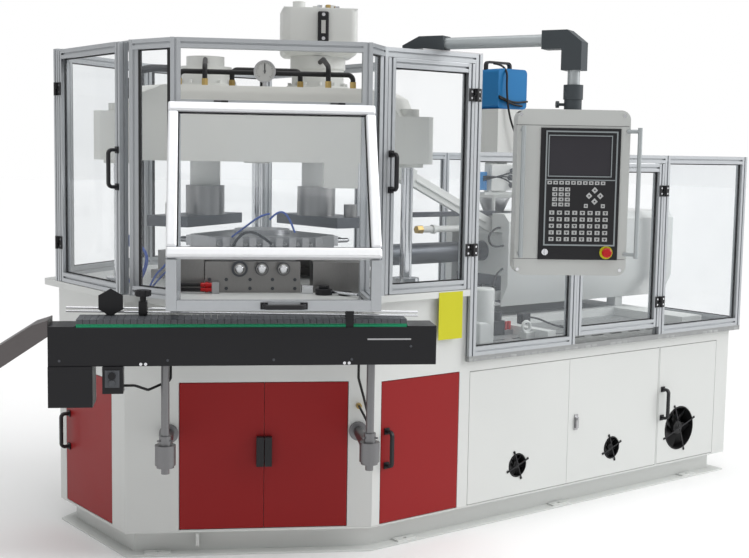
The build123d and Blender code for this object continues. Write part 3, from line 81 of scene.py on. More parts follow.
class Finish:
    # one material and its node tree
    def __init__(self, name):
        self.material = bpy.data.materials.new(name)
        self.material.use_nodes = True
        self.tree = self.material.node_tree
        self.shader = self.tree.nodes["Principled BSDF"]
        self.output = self.tree.nodes["Material Output"]

    def node(self, kind, settings=None, inputs=None, output=0):
        made = self.tree.nodes.new(kind)
        for key, item in (settings or {}).items():
            setattr(made, key, item)
        for key, item in (inputs or {}).items():
            self.put(made.inputs[key], item)
        return Value(self.tree, made.outputs[output])

    def put(self, slot, item):
        if isinstance(item, Value):
            self.tree.links.new(item.socket, slot)
        else:
            slot.default_value = item

    def place(self):
        return self.node("ShaderNodeTexCoord", output="Object")

    def stretched(self, scale):
        return self.node("ShaderNodeMapping", inputs={"Vector": self.place(), "Scale": scale})

    def noise(self, scale, detail=2.0, vector=None):
        inputs = {"Vector": vector or self.place(), "Scale": scale, "Detail": detail}
        return self.node("ShaderNodeTexNoise", inputs=inputs)

    def mixColour(self, factor, first, second):
        inputs = {0: factor, 6: first, 7: second}
        return self.node("ShaderNodeMix", {"data_type": "RGBA"}, inputs, 2)

    def bump(self, height, strength, distance):
        inputs = {"Height": height, "Strength": strength, "Distance": distance}
        return self.node("ShaderNodeBump", inputs=inputs)

    def set(self, inputs):
        for key, item in inputs.items():
            self.put(self.shader.inputs[key], item)
        return self.material


def shade(colour, factor):
    return (colour[0] * factor, colour[1] * factor, colour[2] * factor, 1.0)


def paint(name, colour, rough, peel=0.02):
    # sprayed enamel: slight cloudiness, orange peel and a soft gloss
    made = Finish(name)
    cloud = made.noise(1.3, 3.0)
    return made.set({
        "Base Color": made.mixColour(cloud, shade(colour, 0.96), shade(colour, 1.03)),
        "Roughness": made.noise(6.0) * 0.1 + (rough - 0.05),
        "Normal": made.bump(made.noise(260.0, 1.0), peel, 0.001),
        "Specular IOR Level": 0.25,
    })


def metal(name, colour, rough, grain=(1.0, 1.0, 1.0), grainScale=180.0, depth=0.05):
    # metal with a fine grain stretched along one axis
    made = Finish(name)
    lines = made.noise(grainScale, 3.0, made.stretched(grain))
    return made.set({
        "Base Color": made.mixColour(lines, shade(colour, 0.9), shade(colour, 1.08)),
        "Metallic": 1.0,
        "Roughness": lines * 0.12 + (rough - 0.06),
        "Normal": made.bump(lines, depth, 0.0005),
    })


def anodised(name, colour, rough):
    # satin anodised layer: part metal, part pale film
    made = Finish(name)
    film = made.noise(40.0, 3.0)
    return made.set({
        "Base Color": made.mixColour(film, shade(colour, 0.95), shade(colour, 1.04)),
        "Metallic": 0.55,
        "Roughness": film * 0.08 + (rough - 0.04),
    })


def plastic(name, colour, rough, texture=400.0, depth=0.1):
    # moulded plastic or rubber with a fine surface texture
    made = Finish(name)
    speck = made.noise(texture)
    return made.set({
        "Base Color": made.mixColour(made.noise(5.0), shade(colour, 0.9), shade(colour, 1.1)),
        "Roughness": speck * 0.1 + (rough - 0.05),
        "Normal": made.bump(speck, depth, 0.0006),
        "Specular IOR Level": 0.3,
    })


def treadPlate(name, colour):
    # sheet steel with raised tears in rows
    made = Finish(name)
    cells = made.node(
        "ShaderNodeTexVoronoi",
        {"feature": "DISTANCE_TO_EDGE"},
        {"Vector": made.stretched((1.0, 2.2, 1.0)), "Scale": 22.0, "Randomness": 0.15},
        "Distance",
    )
    tears = made.node("ShaderNodeMapRange", inputs={"Value": cells, 1: 0.10, 2: 0.22})
    return made.set({
        "Base Color": made.mixColour(tears, shade(colour, 0.8), shade(colour, 1.15)),
        "Metallic": 0.6,
        "Roughness": made.noise(8.0) * 0.1 + 0.4,
        "Normal": made.bump(tears, 0.6, 0.0015),
    })


def clearSheet(name, tint, haze):
    # clear sheet: see-through, a little milky, with a gloss that grows at flat angles
    made = Finish(name)
    gloss = made.node("ShaderNodeBsdfGlossy", inputs={"Color": (1, 1, 1, 1), "Roughness": 0.03})
    through = made.node("ShaderNodeBsdfTransparent", inputs={"Color": tint})
    milk = made.node("ShaderNodeBsdfDiffuse", inputs={"Color": (0.62, 0.70, 0.78, 1)})
    facing = made.node("ShaderNodeLayerWeight", inputs={"Blend": 0.5}, output="Facing")
    outside = 1.0 - made.node("ShaderNodeNewGeometry", output="Backfacing")
    seen = 1.0 - made.node("ShaderNodeLightPath", output="Is Shadow Ray")
    shine = (facing * facing * facing * 0.5 + 0.03) * outside * seen
    smear = made.noise(2.5, 3.0) * haze * seen
    hazed = made.node("ShaderNodeMixShader", inputs={0: smear, 1: through, 2: milk})
    mixed = made.node("ShaderNodeMixShader", inputs={0: shine, 1: hazed, 2: gloss})
    made.put(made.output.inputs["Surface"], mixed)
    return made.material


finishes = {
    "white_paint": paint("whitePaint", (0.70, 0.715, 0.70), 0.38),
    "red_paint": paint("redPaint", (0.285, 0.008, 0.009), 0.42),
    "black_paint": paint("blackPaint", (0.012, 0.012, 0.014), 0.35),
    "blue_paint": paint("bluePaint", (0.012, 0.19, 0.47), 0.35),
    "head_paint": paint("creamPaint", (0.74, 0.74, 0.70), 0.42),
    "tank_paint": paint("paleGreyPaint", (0.76, 0.77, 0.75), 0.4),
    "unit_paint": paint("slatePaint", (0.075, 0.09, 0.10), 0.4),
    "guard_aluminium": anodised("anodisedBar", (0.46, 0.48, 0.50), 0.38),
    "light_aluminium": anodised("paleBar", (0.80, 0.81, 0.83), 0.42),
    "clear_sheet": clearSheet("clearSheet", (0.985, 0.99, 0.992, 1), 0.09),
    "steel": metal("machinedSteel", (0.42, 0.42, 0.43), 0.35, (1, 1, 8), 60.0),
    "dark_steel": metal("oiledSteel", (0.09, 0.095, 0.105), 0.4, (1, 1, 4), 40.0),
    "tooling_steel": metal("toolSteel", (0.27, 0.265, 0.26), 0.36, (6, 1, 1), 50.0),
    "bright_chrome": metal("chrome", (0.66, 0.67, 0.69), 0.14, (1, 1, 1), 300.0, 0.01),
    "stainless": metal("stainless", (0.50, 0.50, 0.51), 0.32, (1, 1, 12), 40.0),
    "brass_fitting": metal("brass", (0.50, 0.36, 0.14), 0.34, (1, 1, 1), 200.0),
    "black_rubber": plastic("blackRubber", (0.012, 0.012, 0.013), 0.55),
    "black_plastic": plastic("blackPlastic", (0.014, 0.014, 0.016), 0.42),
    "grey_plastic": plastic("slatGrey", (0.085, 0.09, 0.10), 0.5),
    "case_grey": paint("caseGrey", (0.58, 0.595, 0.58), 0.35),
    "stop_red": plastic("stopRed", (0.50, 0.008, 0.010), 0.25, 300.0, 0.03),
    "beacon_red": plastic("beaconRed", (0.50, 0.010, 0.015), 0.2, 200.0, 0.03),
    "fan_black": plastic("fanBlack", (0.015, 0.015, 0.016), 0.45),
}

# finishes of small parts that share a slot with something larger, and of three whole nodes
extras = {
    "airBlue": plastic("airHoseBlue", (0.015, 0.08, 0.42), 0.3, 200.0, 0.02),
    "plateYellow": paint("plateYellow", (0.62, 0.60, 0.02), 0.35),
    "beltGreen": plastic("beltGreen", (0.01, 0.28, 0.13), 0.45),
    "keyGrey": plastic("keyGrey", (0.50, 0.51, 0.51), 0.5, 300.0, 0.02),
    "screenGlass": plastic("screenGlass", (0.035, 0.033, 0.040), 0.16, 30.0, 0.0),
    "bezelSilver": metal("bezelSilver", (0.30, 0.33, 0.34), 0.4),
    "gaugeFace": plastic("gaugeFace", (0.55, 0.55, 0.53), 0.4, 200.0, 0.02),
    "cowlSlate": paint("cowlSlate", (0.055, 0.065, 0.072), 0.45),
    "tubeGrey": anodised("tubeGrey", (0.40, 0.43, 0.44), 0.4),
    "legSteel": metal("legSteel", (0.20, 0.20, 0.205), 0.42, (1, 1, 8), 60.0),
    "chuteSteel": metal("chuteSteel", (0.13, 0.12, 0.12), 0.42, (1, 1, 6), 60.0),
    "seamGrey": plastic("seamGrey", (0.13, 0.13, 0.13), 0.6, 200.0, 0.0),
    "treadPlate": treadPlate("treadPlate", (0.36, 0.37, 0.37)),
}
nodeFinish = {
    "conveyor_supports": "legSteel",
    "bottle_chute": "chuteSteel",
    "deck_floor": "treadPlate",
}

slotOf = {part["node"]: part["material_slot"] for part in frame["record"]["subparts"]}
bodyOf = {}
for bodyName, nodeNames in frame["record"]["behaviour"]["bodies"].items():
    for nodeName in nodeNames:
        bodyOf[nodeName] = bodyName
for nodeName, nodeObject in frame["nodes"].items():
    nodeObject.data.materials.clear()
    special = nodeFinish.get(nodeName)
    nodeObject.data.materials.append(extras[special] if special else finishes[slotOf[nodeName]])
carriage = bodyOf["injection_carriage"]
panel = bodyOf["panel_case"]
print("finishes made")


def turned(degrees):
    return Matrix.Rotation(math.radians(degrees), 4, "Z")


# local frames: x points out of that side, y runs to the right as seen from outside
bay = turned(240)
longFace = turned(270)
leftEnd = turned(180)
panelPlace = Matrix.Translation((0.610, -1.395, 0)) @ turned(235)
tankPlace = Matrix.Translation((0.310, 0, 0)) @ turned(240)


def block(xs, ys, zs, place=None):
    # box between three pairs of limits
    shape = bmesh.new()
    bmesh.ops.create_cube(shape, size=1.0)
    middle = Vector([(low + high) / 2 for low, high in (xs, ys, zs)])
    size = [abs(high - low) for low, high in (xs, ys, zs)]
    grown = Matrix.Translation(middle) @ Matrix.Diagonal((*size, 1.0))
    bmesh.ops.transform(shape, matrix=(place or Matrix()) @ grown, verts=shape.verts)
    return shape


def rod(start, end, radius, place=None, sides=24, endRadius=None):
    # round bar, or a cone where the second radius differs
    run = Vector(end) - Vector(start)
    shape = bmesh.new()
    bmesh.ops.create_cone(
        shape,
        cap_ends=True,
        segments=sides,
        radius1=radius,
        radius2=radius if endRadius is None else endRadius,
        depth=run.length,
    )
    turn = Vector((0, 0, 1)).rotation_difference(run).to_matrix().to_4x4()
    middle = Matrix.Translation((Vector(start) + Vector(end)) / 2)
    bmesh.ops.transform(shape, matrix=(place or Matrix()) @ middle @ turn, verts=shape.verts)
    return shape


def joined(shapes):
    whole = bmesh.new()
    holder = bpy.data.meshes.new("holder")
    for shape in shapes:
        shape.to_mesh(holder)
        whole.from_mesh(holder)
        shape.free()
    bpy.data.meshes.remove(holder)
    return whole


def outline(xs, ys, zs, width, place):
    # frame of four bars
    (left, right), (low, high) = ys, zs
    return joined([
        block(xs, ys, (low, low + width), place),
        block(xs, ys, (high - width, high), place),
        block(xs, (left, left + width), (low + width, high - width), place),
        block(xs, (right - width, right), (low + width, high - width), place),
    ])


def turnedOn(spot, degrees):
    # turn about the line along x through a spot
    turn = Matrix.Rotation(math.radians(degrees), 4, "X")
    return Matrix.Translation(spot) @ turn @ Matrix.Translation(-Vector(spot))


def flattened(shape):
    bmesh.ops.dissolve_limit(shape, angle_limit=0.01, verts=shape.verts, edges=shape.edges)
    return shape


def makePiece(name, shape, body, slot, bevelWidth=0.0, finish=None, smooth=0.6, segments=2):
    # finished object at the origin, with its place in the mesh
    mesh = bpy.data.meshes.new(name)
    shape.to_mesh(mesh)
    shape.free()
    piece = bpy.data.objects.new(name, mesh)
    bpy.context.collection.objects.link(piece)
    mesh.materials.append(extras[finish] if finish else finishes[slot])
    mesh.shade_smooth()
    mesh.set_sharp_from_angle(angle=smooth)
    if bevelWidth:
        bevel = piece.modifiers.new("edges", "BEVEL")
        bevel.width = bevelWidth
        bevel.segments = segments
        bevel.limit_method = "ANGLE"
        bevel.angle_limit = 0.6
        bevel.harden_normals = True
    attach(piece, body)
    return piece


def makePlain(name, facts, body="machine", place=None):
    # piece of boxes, round bars, and like studs that point along x, one at each spot
    shapes = [block(*limits, place) for limits in facts.get("boxes", {}).values()]
    for start, end, radius, *rest in facts.get("rods", {}).values():
        shapes.append(rod(start, end, radius, place, *rest))
    for y, z in facts.get("spots", ()):
        (near, far), radius, *rest = facts["stud"]
        shapes.append(rod((near, y, z), (far, y, z), radius, place, *rest))
    bevelWidth, segments = facts.get("bevel", 0.0), facts.get("segments", 2)
    finish = facts.get("finish")
    return makePiece(name, joined(shapes), body, facts["slot"], bevelWidth, finish, segments=segments)


def makePlains(pieces, body="machine", place=None):
    for name, facts in pieces.items():
        makePlain(name, facts, body, place)


def crossed(ys, zs):
    # every y with every z
    return [(y, z) for y in ys for z in zs]


def recolour(piece, finish, test):
    # second finish on the faces that pass the test
    piece.data.materials.append(extras.get(finish) or finishes[finish])
    number = len(piece.data.materials) - 1
    for face in piece.data.polygons:
        if test(face.center):
            face.material_index = number


def tube(name, points, radius, body, slot, finish=None):
    # hose or cable along a smooth line
    curve = bpy.data.curves.new(name, "CURVE")
    curve.dimensions = "3D"
    curve.bevel_depth = radius
    curve.bevel_resolution = 3
    curve.resolution_u = 8
    curve.use_fill_caps = True
    line = curve.splines.new("NURBS")
    line.points.add(len(points) - 1)
    for knot, point in zip(line.points, points):
        knot.co = (*point, 1.0)
    line.order_u = 3
    line.use_endpoint_u = True
    holder = bpy.data.objects.new(name, curve)
    bpy.context.collection.objects.link(holder)
    bpy.context.view_layer.update()
    mesh = bpy.data.meshes.new_from_object(holder)
    bpy.data.objects.remove(holder)
    bpy.data.curves.remove(curve)
    shape = bmesh.new()
    shape.from_mesh(mesh)
    bpy.data.meshes.remove(mesh)
    bmesh.ops.recalc_face_normals(shape, faces=shape.faces)
    return makePiece(name, shape, body, slot, finish=finish, smooth=1.0)


def makeRuns(runs, kind, body="machine", place=Matrix(), finish=None):
    # hoses or cables of one thickness
    for name, run in runs.items():
        points = [place @ Vector(point) for point in run]
        tube(name, points, runRadii[kind], body, "black_rubber", finish)


runRadii = {
    "air": 0.0045,
    "bench": 0.007,
    "head": 0.006,
    "conduit": 0.016,
    "carriage": 0.0055,
    "gland": 0.004,
    "deck": 0.005,
}


def solidsOf(nodeName):
    # the separate solids of a node, each as its own merged mesh
    whole = bmesh.new()
    whole.from_mesh(frame["nodes"][nodeName].data)
    bmesh.ops.remove_doubles(whole, verts=whole.verts, dist=1e-5)
    solids = []
    for face in whole.faces:
        face.tag = False
    for first in whole.faces:
        if first.tag:
            continue
        first.tag = True
        island = [first]
        for face in island:
            for side in face.edges:
                for other in side.link_faces:
                    if not other.tag:
                        other.tag = True
                        island.append(other)
        one = bmesh.new()
        corners = {}
        for face in island:
            for vert in face.verts:
                if vert not in corners:
                    corners[vert] = one.verts.new(vert.co)
            one.faces.new([corners[vert] for vert in face.verts])
        one.normal_update()
        solids.append(one)
    whole.free()
    return solids


def middleOf(solid):
    return sum((vert.co for vert in solid.verts), Vector()) / len(solid.verts)


def sizeOf(solid):
    low = Vector([min(vert.co[axis] for vert in solid.verts) for axis in range(3)])
    high = Vector([max(vert.co[axis] for vert in solid.verts) for axis in range(3)])
    return high - low


def bevelled(nodeName, width, segments=2):
    # the node's own shape with broken edges
    shape = joined(solidsOf(nodeName))
    body, slot = bodyOf[nodeName], slotOf[nodeName]
    piece = makePiece(nodeName + "Shape", shape, body, slot, width, segments=segments)
    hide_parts(nodeName)
    return piece


def boxAxes(sheet):
    # centre, directions and half sizes of a box-shaped solid, longest side first
    flattened(sheet)
    sheet.verts.ensure_lookup_table()
    corner = sheet.verts[0]
    runs = [side.other_vert(corner).co - corner.co for side in corner.link_edges]
    runs.sort(key=lambda run: -run.length)
    return middleOf(sheet), [run.normalized() for run in runs], [run.length / 2 for run in runs]


gasket = {"lip": 0.0137, "thick": 0.0041}


def gasketRing(sheet):
    # rubber strip that fills the groove round a clear sheet
    centre, ways, halves = boxAxes(sheet)
    place = Matrix.Translation(centre) @ Matrix(ways).transposed().to_4x4()
    lip, thick = gasket["lip"], gasket["thick"]
    long, wide = halves[0], halves[1]
    strips = []
    for side in (-1, 1):
        ends = sorted((side * long, side * (long - lip)))
        strips.append(block(ends, (-wide, wide), (-thick, thick), place))
        sides = sorted((side * wide, side * (wide - lip)))
        strips.append(block((-long + lip, long - lip), sides, (-thick, thick), place))
    return joined(strips)


# glazed doors: bars, sheet, gasket and black fittings
largestFitting = 0.25


def splitGlazed(nodeName):
    bars, sheets, blacks = [], [], []
    for solid in solidsOf(nodeName):
        if max(sizeOf(solid)) < largestFitting:
            blacks.append(solid)
        elif len(flattened(solid).verts) == 8 and len(solid.faces) == 6:
            sheets.append(solid)
        else:
            bars.append(solid)
    return bars, sheets, blacks


def makeGlazed(nodeName, name, frames, sheets, blacks):
    # the frames are finished pieces, the rest is still to be made
    body = bodyOf[nodeName]
    ring = joined([gasketRing(sheet) for sheet in sheets])
    glazing = [
        makePiece(name + "Sheet", joined(sheets), body, "clear_sheet"),
        makePiece(name + "Gasket", ring, body, "black_rubber"),
        makePiece(name + "Fittings", joined(blacks), body, "black_plastic", 0.001),
    ]
    for piece in frames + glazing:
        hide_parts(nodeName)


for doorName in ("left_guard_door", "front_guard_door", "deck_guard_door"):
    bars, sheets, blacks = splitGlazed(doorName)
    frames = [makePiece(doorName + "Bars", joined(bars), bodyOf[doorName], "guard_aluminium", 0.001)]
    makeGlazed(doorName, doorName, frames, sheets, blacks)


# hood: plain rounded white flap over a grey foot frame
hood = {
    "axis": (0.915, 0, 1.895),
    "lean": -25.44,
    "xs": (-0.004, 0.036),
    "half": 0.406,
    "bar": 0.040,
    "high": -0.014,
    "low": -0.6589,
    "footXs": (1.178, 1.218),
    "footZs": (1.108, 1.302),
}


def makeHood():
    place = bay @ Matrix.Translation(hood["axis"]) @ Matrix.Rotation(math.radians(hood["lean"]), 4, "Y")
    half, wide = hood["half"], hood["bar"]
    flap = outline(hood["xs"], (-half, half), (hood["low"], hood["high"]), wide, place)
    footXs, (footLow, footHigh) = hood["footXs"], hood["footZs"]
    feet = [
        block(footXs, (-half, -half + wide), (footLow, footHigh), bay),
        block(footXs, (half - wide, half), (footLow, footHigh), bay),
        block(footXs, (-half + wide, half - wide), (footLow, footLow + wide), bay),
    ]
    bars, sheets, blacks = splitGlazed("hood_frame")
    for solid in bars:
        solid.free()
    body = bodyOf["hood_frame"]
    frames = [
        makePiece("hoodFlap", flap, body, "light_aluminium", 0.009, segments=4),
        makePiece("hoodFeet", joined(feet), body, "guard_aluminium", 0.0015),
    ]
    makeGlazed("hood_frame", "hood", frames, sheets, blacks)


makeHood()
paneRings = joined([gasketRing(sheet) for sheet in solidsOf("guard_panes")])
makePiece("paneGaskets", paneRings, "machine", "black_rubber")
print("glazed doors made")


# folded doors of the base: skin, handle, hinge leaves and latch parts
largestLatch = 0.1


def splitBaseDoor(nodeName):
    solids = sorted(solidsOf(nodeName), key=lambda solid: -max(sizeOf(solid)))
    skin, small = solids[0], solids[1:]
    body, slot = bodyOf[nodeName], slotOf[nodeName]
    door = makePiece(nodeName + "Skin", skin, body, slot, 0.0012)
    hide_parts(nodeName)
    for number, solid in enumerate(small):
        fittingSlot = "steel" if max(sizeOf(solid)) < largestLatch else "black_plastic"
        fitting = makePiece(f"{nodeName}Fitting{number}", solid, body, fittingSlot)
        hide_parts(nodeName)
    return door


fanHoles = {
    "front_door_1": {"x": 0.891, "z": 0.254, "radius": 0.0575},
    "front_door_2": {"x": 1.549, "z": 0.250, "radius": 0.0575},
    "front_door_3": {"x": 2.077, "z": 0.285, "radius": 0.1165},
}
fanHousing = {"skinBack": -0.8465, "spread": 1.5}


def paintFanHousing(door, hole):
    # everything behind the skin round the fan is black
    def isHousing(centre):
        away = math.hypot(centre.x - hole["x"], centre.z - hole["z"])
        return centre.y > fanHousing["skinBack"] and away < hole["radius"] * fanHousing["spread"]

    recolour(door, "fan_black", isHousing)


for doorName in ("left_end_door", "stripping_door_left", "stripping_door_right", "front_red_door"):
    splitBaseDoor(doorName)
for doorName, hole in fanHoles.items():
    paintFanHousing(splitBaseDoor(doorName), hole)
print("base doors made")


# large forms with broken edges
for nodeName, width in {
    "table_top": 0.002,
    "plinth": 0.0015,
    "unit_cover": 0.003,
    "injection_bed": 0.002,
    "crosshead": 0.006,
    "conveyor_sides": 0.0015,
    "drive_boxes": 0.003,
    "guard_frame": 0.0008,
    "turret": 0.0012,
    "stripper_plate": 0.0012,
    "lower_tooling": 0.0015,
    "clamp_cylinders": 0.003,
}.items():
    bevelled(nodeName, width)


# panel arm: slate castings at both ends of a plain tube
armFacts = {
    "root": (0.322, -0.725, 0),
    "along": (0.288, -0.670, 0),
    "tube": (0.151, 0.598),
    "tubeLow": 2.1,
    "drop": (1.998, 2.054),
}


def makePanelArm():
    arm = bevelled("panel_arm", 0.006)
    recolour(arm, "cowlSlate", lambda centre: True)
    root = Vector(armFacts["root"])
    along = Vector(armFacts["along"]).normalized()

    def isTube(centre):
        reach = (centre - root).dot(along)
        onTube = armFacts["tube"][0] < reach < armFacts["tube"][1] and centre.z > armFacts["tubeLow"]
        return onTube or armFacts["drop"][0] < centre.z < armFacts["drop"][1]

    recolour(arm, "tubeGrey", isTube)


makePanelArm()
print("painted forms made")

# heights at which one finish gives way to another
colourHeights = {
    "slats": 1.0529,
    "loaderHandle": 2.1665,
    "loaderFoot": 1.9525,
    "ramCollar": 1.4021,
    "ramBarrel": 1.5421,
    "hopperBin": 1.4965,
}

# belt: green edge strip under the grey slats
belt = bevelled("conveyor_belt", 0.0006)
recolour(belt, "beltGreen", lambda centre: centre.z < colourHeights["slats"])
beltEdge = {
    "slot": "black_rubber",
    "finish": "beltGreen",
    "boxes": {"strip": ((1.1652, 1.1684), (-0.739, 0.514), (1.036, 1.0485))},
}
makePlain("beltEdge", beltEdge, place=bay)

# loader: blue casing, pale foot and a black strap handle
loader = bevelled("loader", 0.003)
recolour(loader, "black_plastic", lambda centre: centre.z > colourHeights["loaderHandle"])
recolour(loader, "tank_paint", lambda centre: centre.z < colourHeights["loaderFoot"])

# rams: white barrels over machined collars
for nodeName in ("upper_mould_injection", "upper_mould_blow"):
    ram = bevelled(nodeName, 0.002)
    recolour(ram, "tooling_steel", lambda centre: centre.z > colourHeights["ramCollar"])
    recolour(ram, "tank_paint", lambda centre: centre.z > colourHeights["ramBarrel"])

# hopper: painted bin over plain steel
hopper = bevelled("hopper", 0.0015)
recolour(hopper, "tank_paint", lambda centre: centre.z > colourHeights["hopperBin"])


# guide rails: bright rods on black brackets, one of them a stem with a hexagon plate
stem = {
    "inner": 1.013,
    "thick": 0.004,
    "ts": (-0.640, -0.608),
    "zs": (0.903, 1.150),
    "clear": 1.076,
    "plateXs": (1.0523, 1.0583),
    "plateCentre": (-0.6195, 1.1215),
    "plateReach": 0.0535,
    "shortestRod": 0.6,
    "rightOf": -0.580,
}


def makeStem():
    inner, (near, far), (t, z) = stem["inner"], stem["plateXs"], stem["plateCentre"]
    return [
        block((inner, inner + stem["thick"]), stem["ts"], stem["zs"], bay),
        block((inner, near), stem["ts"], (stem["clear"], stem["zs"][1]), bay),
        rod((near, t, z), (far, t, z), stem["plateReach"], bay @ turnedOn((0, t, z), 90), 6),
    ]


def makeGuideRails():
    rods, holders = [], makeStem()
    home = bay.inverted()
    for solid in solidsOf("guide_rails"):
        if max(sizeOf(solid)) > stem["shortestRod"]:
            rods.append(solid)
        elif (home @ middleOf(solid)).y > stem["rightOf"]:
            holders.append(solid)
        else:
            solid.free()
    bright = makePiece("guideRods", joined(rods), "machine", "bright_chrome")
    black = makePiece("guideHolders", joined(holders), "machine", "black_paint", 0.001)
    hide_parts("guide_rails")
    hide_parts("guide_rails")


makeGuideRails()


# lobed clamping knob
clampKnob = {
    "centre": (1.0533, -0.498, 1.146),
    "radius": 0.033,
    "height": 0.023,
    "lobes": 7,
    "stepsPerLobe": 8,
    "mean": 0.88,
    "swing": 0.12,
}


def starKnob(facts, place):
    shape = bmesh.new()
    lobes = facts["lobes"]
    steps = lobes * facts["stepsPerLobe"]
    ring = []
    for step in range(steps):
        angle = 2 * math.pi * step / steps
        reach = facts["radius"] * (facts["mean"] + facts["swing"] * math.cos(lobes * angle))
        ring.append(shape.verts.new((reach * math.cos(angle), reach * math.sin(angle), 0)))
    face = shape.faces.new(ring)
    grown = bmesh.ops.extrude_face_region(shape, geom=[face])
    verts = [item for item in grown["geom"] if isinstance(item, bmesh.types.BMVert)]
    bmesh.ops.translate(shape, verts=verts, vec=(0, 0, facts["height"]))
    bmesh.ops.recalc_face_normals(shape, faces=shape.faces)
    bmesh.ops.transform(shape, matrix=place @ Matrix.Translation(facts["centre"]), verts=shape.verts)
    return shape


makePiece("clampKnob", starKnob(clampKnob, bay), "machine", "black_plastic", 0.003)
print("conveyor made")


# operator panel
panelFace = {
    "front": 0.048,
    "bezel": 0.009,
    "keyTop": 0.011,
    "screen": ((-0.105, 0.157), (1.624, 1.793)),
    "frame": ((-0.116, 0.179), (1.343, 1.810)),
    "fieldTop": 1.614,
    "barFront": 0.0495,
    "caseTop": 1.8965,
    "trimXs": (0.056, 0.0585),
    "frameWidth": 0.006,
    "screenWidth": 0.004,
    "tolerance": 0.0002,
}


def makePanelFace():
    face = bevelled("panel_face", 0.0006)
    home = panelPlace.inverted()
    level, close = panelFace["front"] + panelFace["bezel"], panelFace["tolerance"]

    def isKey(centre):
        return (home @ centre).x > level + close

    def isScreen(centre):
        spot = home @ centre
        (left, right), (low, high) = panelFace["screen"]
        inside = left < spot.y < right and low < spot.z < high
        return inside and spot.x < level - close

    recolour(face, "keyGrey", isKey)
    recolour(face, "screenGlass", isScreen)
    xs, top, thin = panelFace["trimXs"], panelFace["fieldTop"], panelFace["screenWidth"]
    left, right = panelFace["frame"][0]
    silver = [
        outline(xs, *panelFace["frame"], panelFace["frameWidth"], panelPlace),
        outline(xs, *panelFace["screen"], thin, panelPlace),
        block(xs, (left + 0.005, right - 0.005), (top - thin, top), panelPlace),
    ]
    makePiece("panelTrim", joined(silver), panel, "black_plastic", finish="bezelSilver")


keyRow = {"left": -0.096, "pitch": 0.0243, "count": 10, "z": 1.600, "mark": (0.007, 0.006)}
arrowKeys = {"centre": (0.090, 1.548), "reach": 0.023, "half": 0.0095, "mark": (0.006, 0.006)}
squareKeys = {"ys": (0.055, 0.125), "z": 1.507, "half": 0.008, "mark": (0.007, 0.005)}
digitKeys = {
    "left": -0.074,
    "top": 1.573,
    "pitch": (0.026, 0.0205),
    "columns": 3,
    "rows": 4,
    "level": (0.009, 0.003),
    "upright": (0.003, 0.009),
    "shift": 0.003,
}
letterKeys = {
    "left": -0.084,
    "top": 1.478,
    "pitch": (0.0315, 0.027),
    "columns": 8,
    "rows": 5,
    "upper": {"wide": (0.010, 0.004), "narrow": (0.006, 0.004), "rise": 0.002},
    "lower": {"mark": (0.004, 0.005), "drop": 0.003},
}


def keySpots(facts):
    # row, column and centre of each key in a block of keys
    for row in range(facts["rows"]):
        for column in range(facts["columns"]):
            y = facts["left"] + column * facts["pitch"][0]
            yield row, column, y, facts["top"] - row * facts["pitch"][1]


def makeKeyMarks():
    # arrow keys, and a plain dark mark on every key
    marks, keys = [], []
    top = panelFace["front"] + panelFace["keyTop"]
    level = panelFace["front"] + panelFace["bezel"] - 0.0005

    def mark(y, z, width, height):
        ys, zs = (y - width / 2, y + width / 2), (z - height / 2, z + height / 2)
        marks.append(block((top - 0.0005, top + 0.0004), ys, zs, panelPlace))

    def key(y, z, half, place):
        keys.append(block((level, top), (y - half, y + half), (z - half, z + half), place))

    for number in range(keyRow["count"]):
        mark(keyRow["left"] + number * keyRow["pitch"], keyRow["z"], *keyRow["mark"])
    for row, column, y, z in keySpots(digitKeys):
        mark(y, z, *digitKeys["level"])
        mark(y + digitKeys["shift"], z, *digitKeys["upright"])
    reach = arrowKeys["reach"]
    for dy, dz in ((0, reach), (0, -reach), (-reach, 0), (reach, 0)):
        y, z = arrowKeys["centre"][0] + dy, arrowKeys["centre"][1] + dz
        key(y, z, arrowKeys["half"], panelPlace @ turnedOn((0, y, z), 45))
        mark(y, z, *arrowKeys["mark"])
    for y in squareKeys["ys"]:
        key(y, squareKeys["z"], squareKeys["half"], panelPlace)
        mark(y, squareKeys["z"], *squareKeys["mark"])
    makePiece("arrowKeys", joined(keys), panel, "grey_plastic", 0.0006, finish="keyGrey")
    upper, lower = letterKeys["upper"], letterKeys["lower"]
    for row, column, y, z in keySpots(letterKeys):
        mark(y, z + upper["rise"], *upper["wide" if (row + column) % 3 else "narrow"])
        mark(y, z - lower["drop"], *lower["mark"])
    makePiece("keyMarks", joined(marks), panel, "black_plastic")


casePieces = {
    "caseScrews": {
        "slot": "bright_chrome",
        "stud": ((0.0475, 0.050), 0.007, 16),
        "spots": crossed((-0.218, 0.205), (1.244, 1.874)),
    },
    "caseSeams": {
        "slot": "black_plastic",
        "finish": "seamGrey",
        "boxes": {
            "lower": ((0.0478, 0.0484), (-0.238, 0.225), (1.287, 1.2892)),
            "upper": ((0.0478, 0.0484), (-0.238, 0.225), (1.830, 1.8322)),
        },
    },
    "stopCollar": {
        "slot": "black_plastic",
        "finish": "plateYellow",
        "bevel": 0.001,
        "rods": {"ring": ((0.0545, 0.145, 1.317), (0.058, 0.145, 1.317), 0.027, 40)},
    },
}


def makePanelCase():
    case = bevelled("panel_case", 0.005, 3)
    home = panelPlace.inverted()
    recolour(case, "cowlSlate", lambda centre: centre.z > panelFace["caseTop"])
    recolour(case, "tubeGrey", lambda centre: (home @ centre).x > panelFace["barFront"])
    makePlains(casePieces, panel, panelPlace)


makePanelFace()
makeKeyMarks()
makePanelCase()
print("panel made")


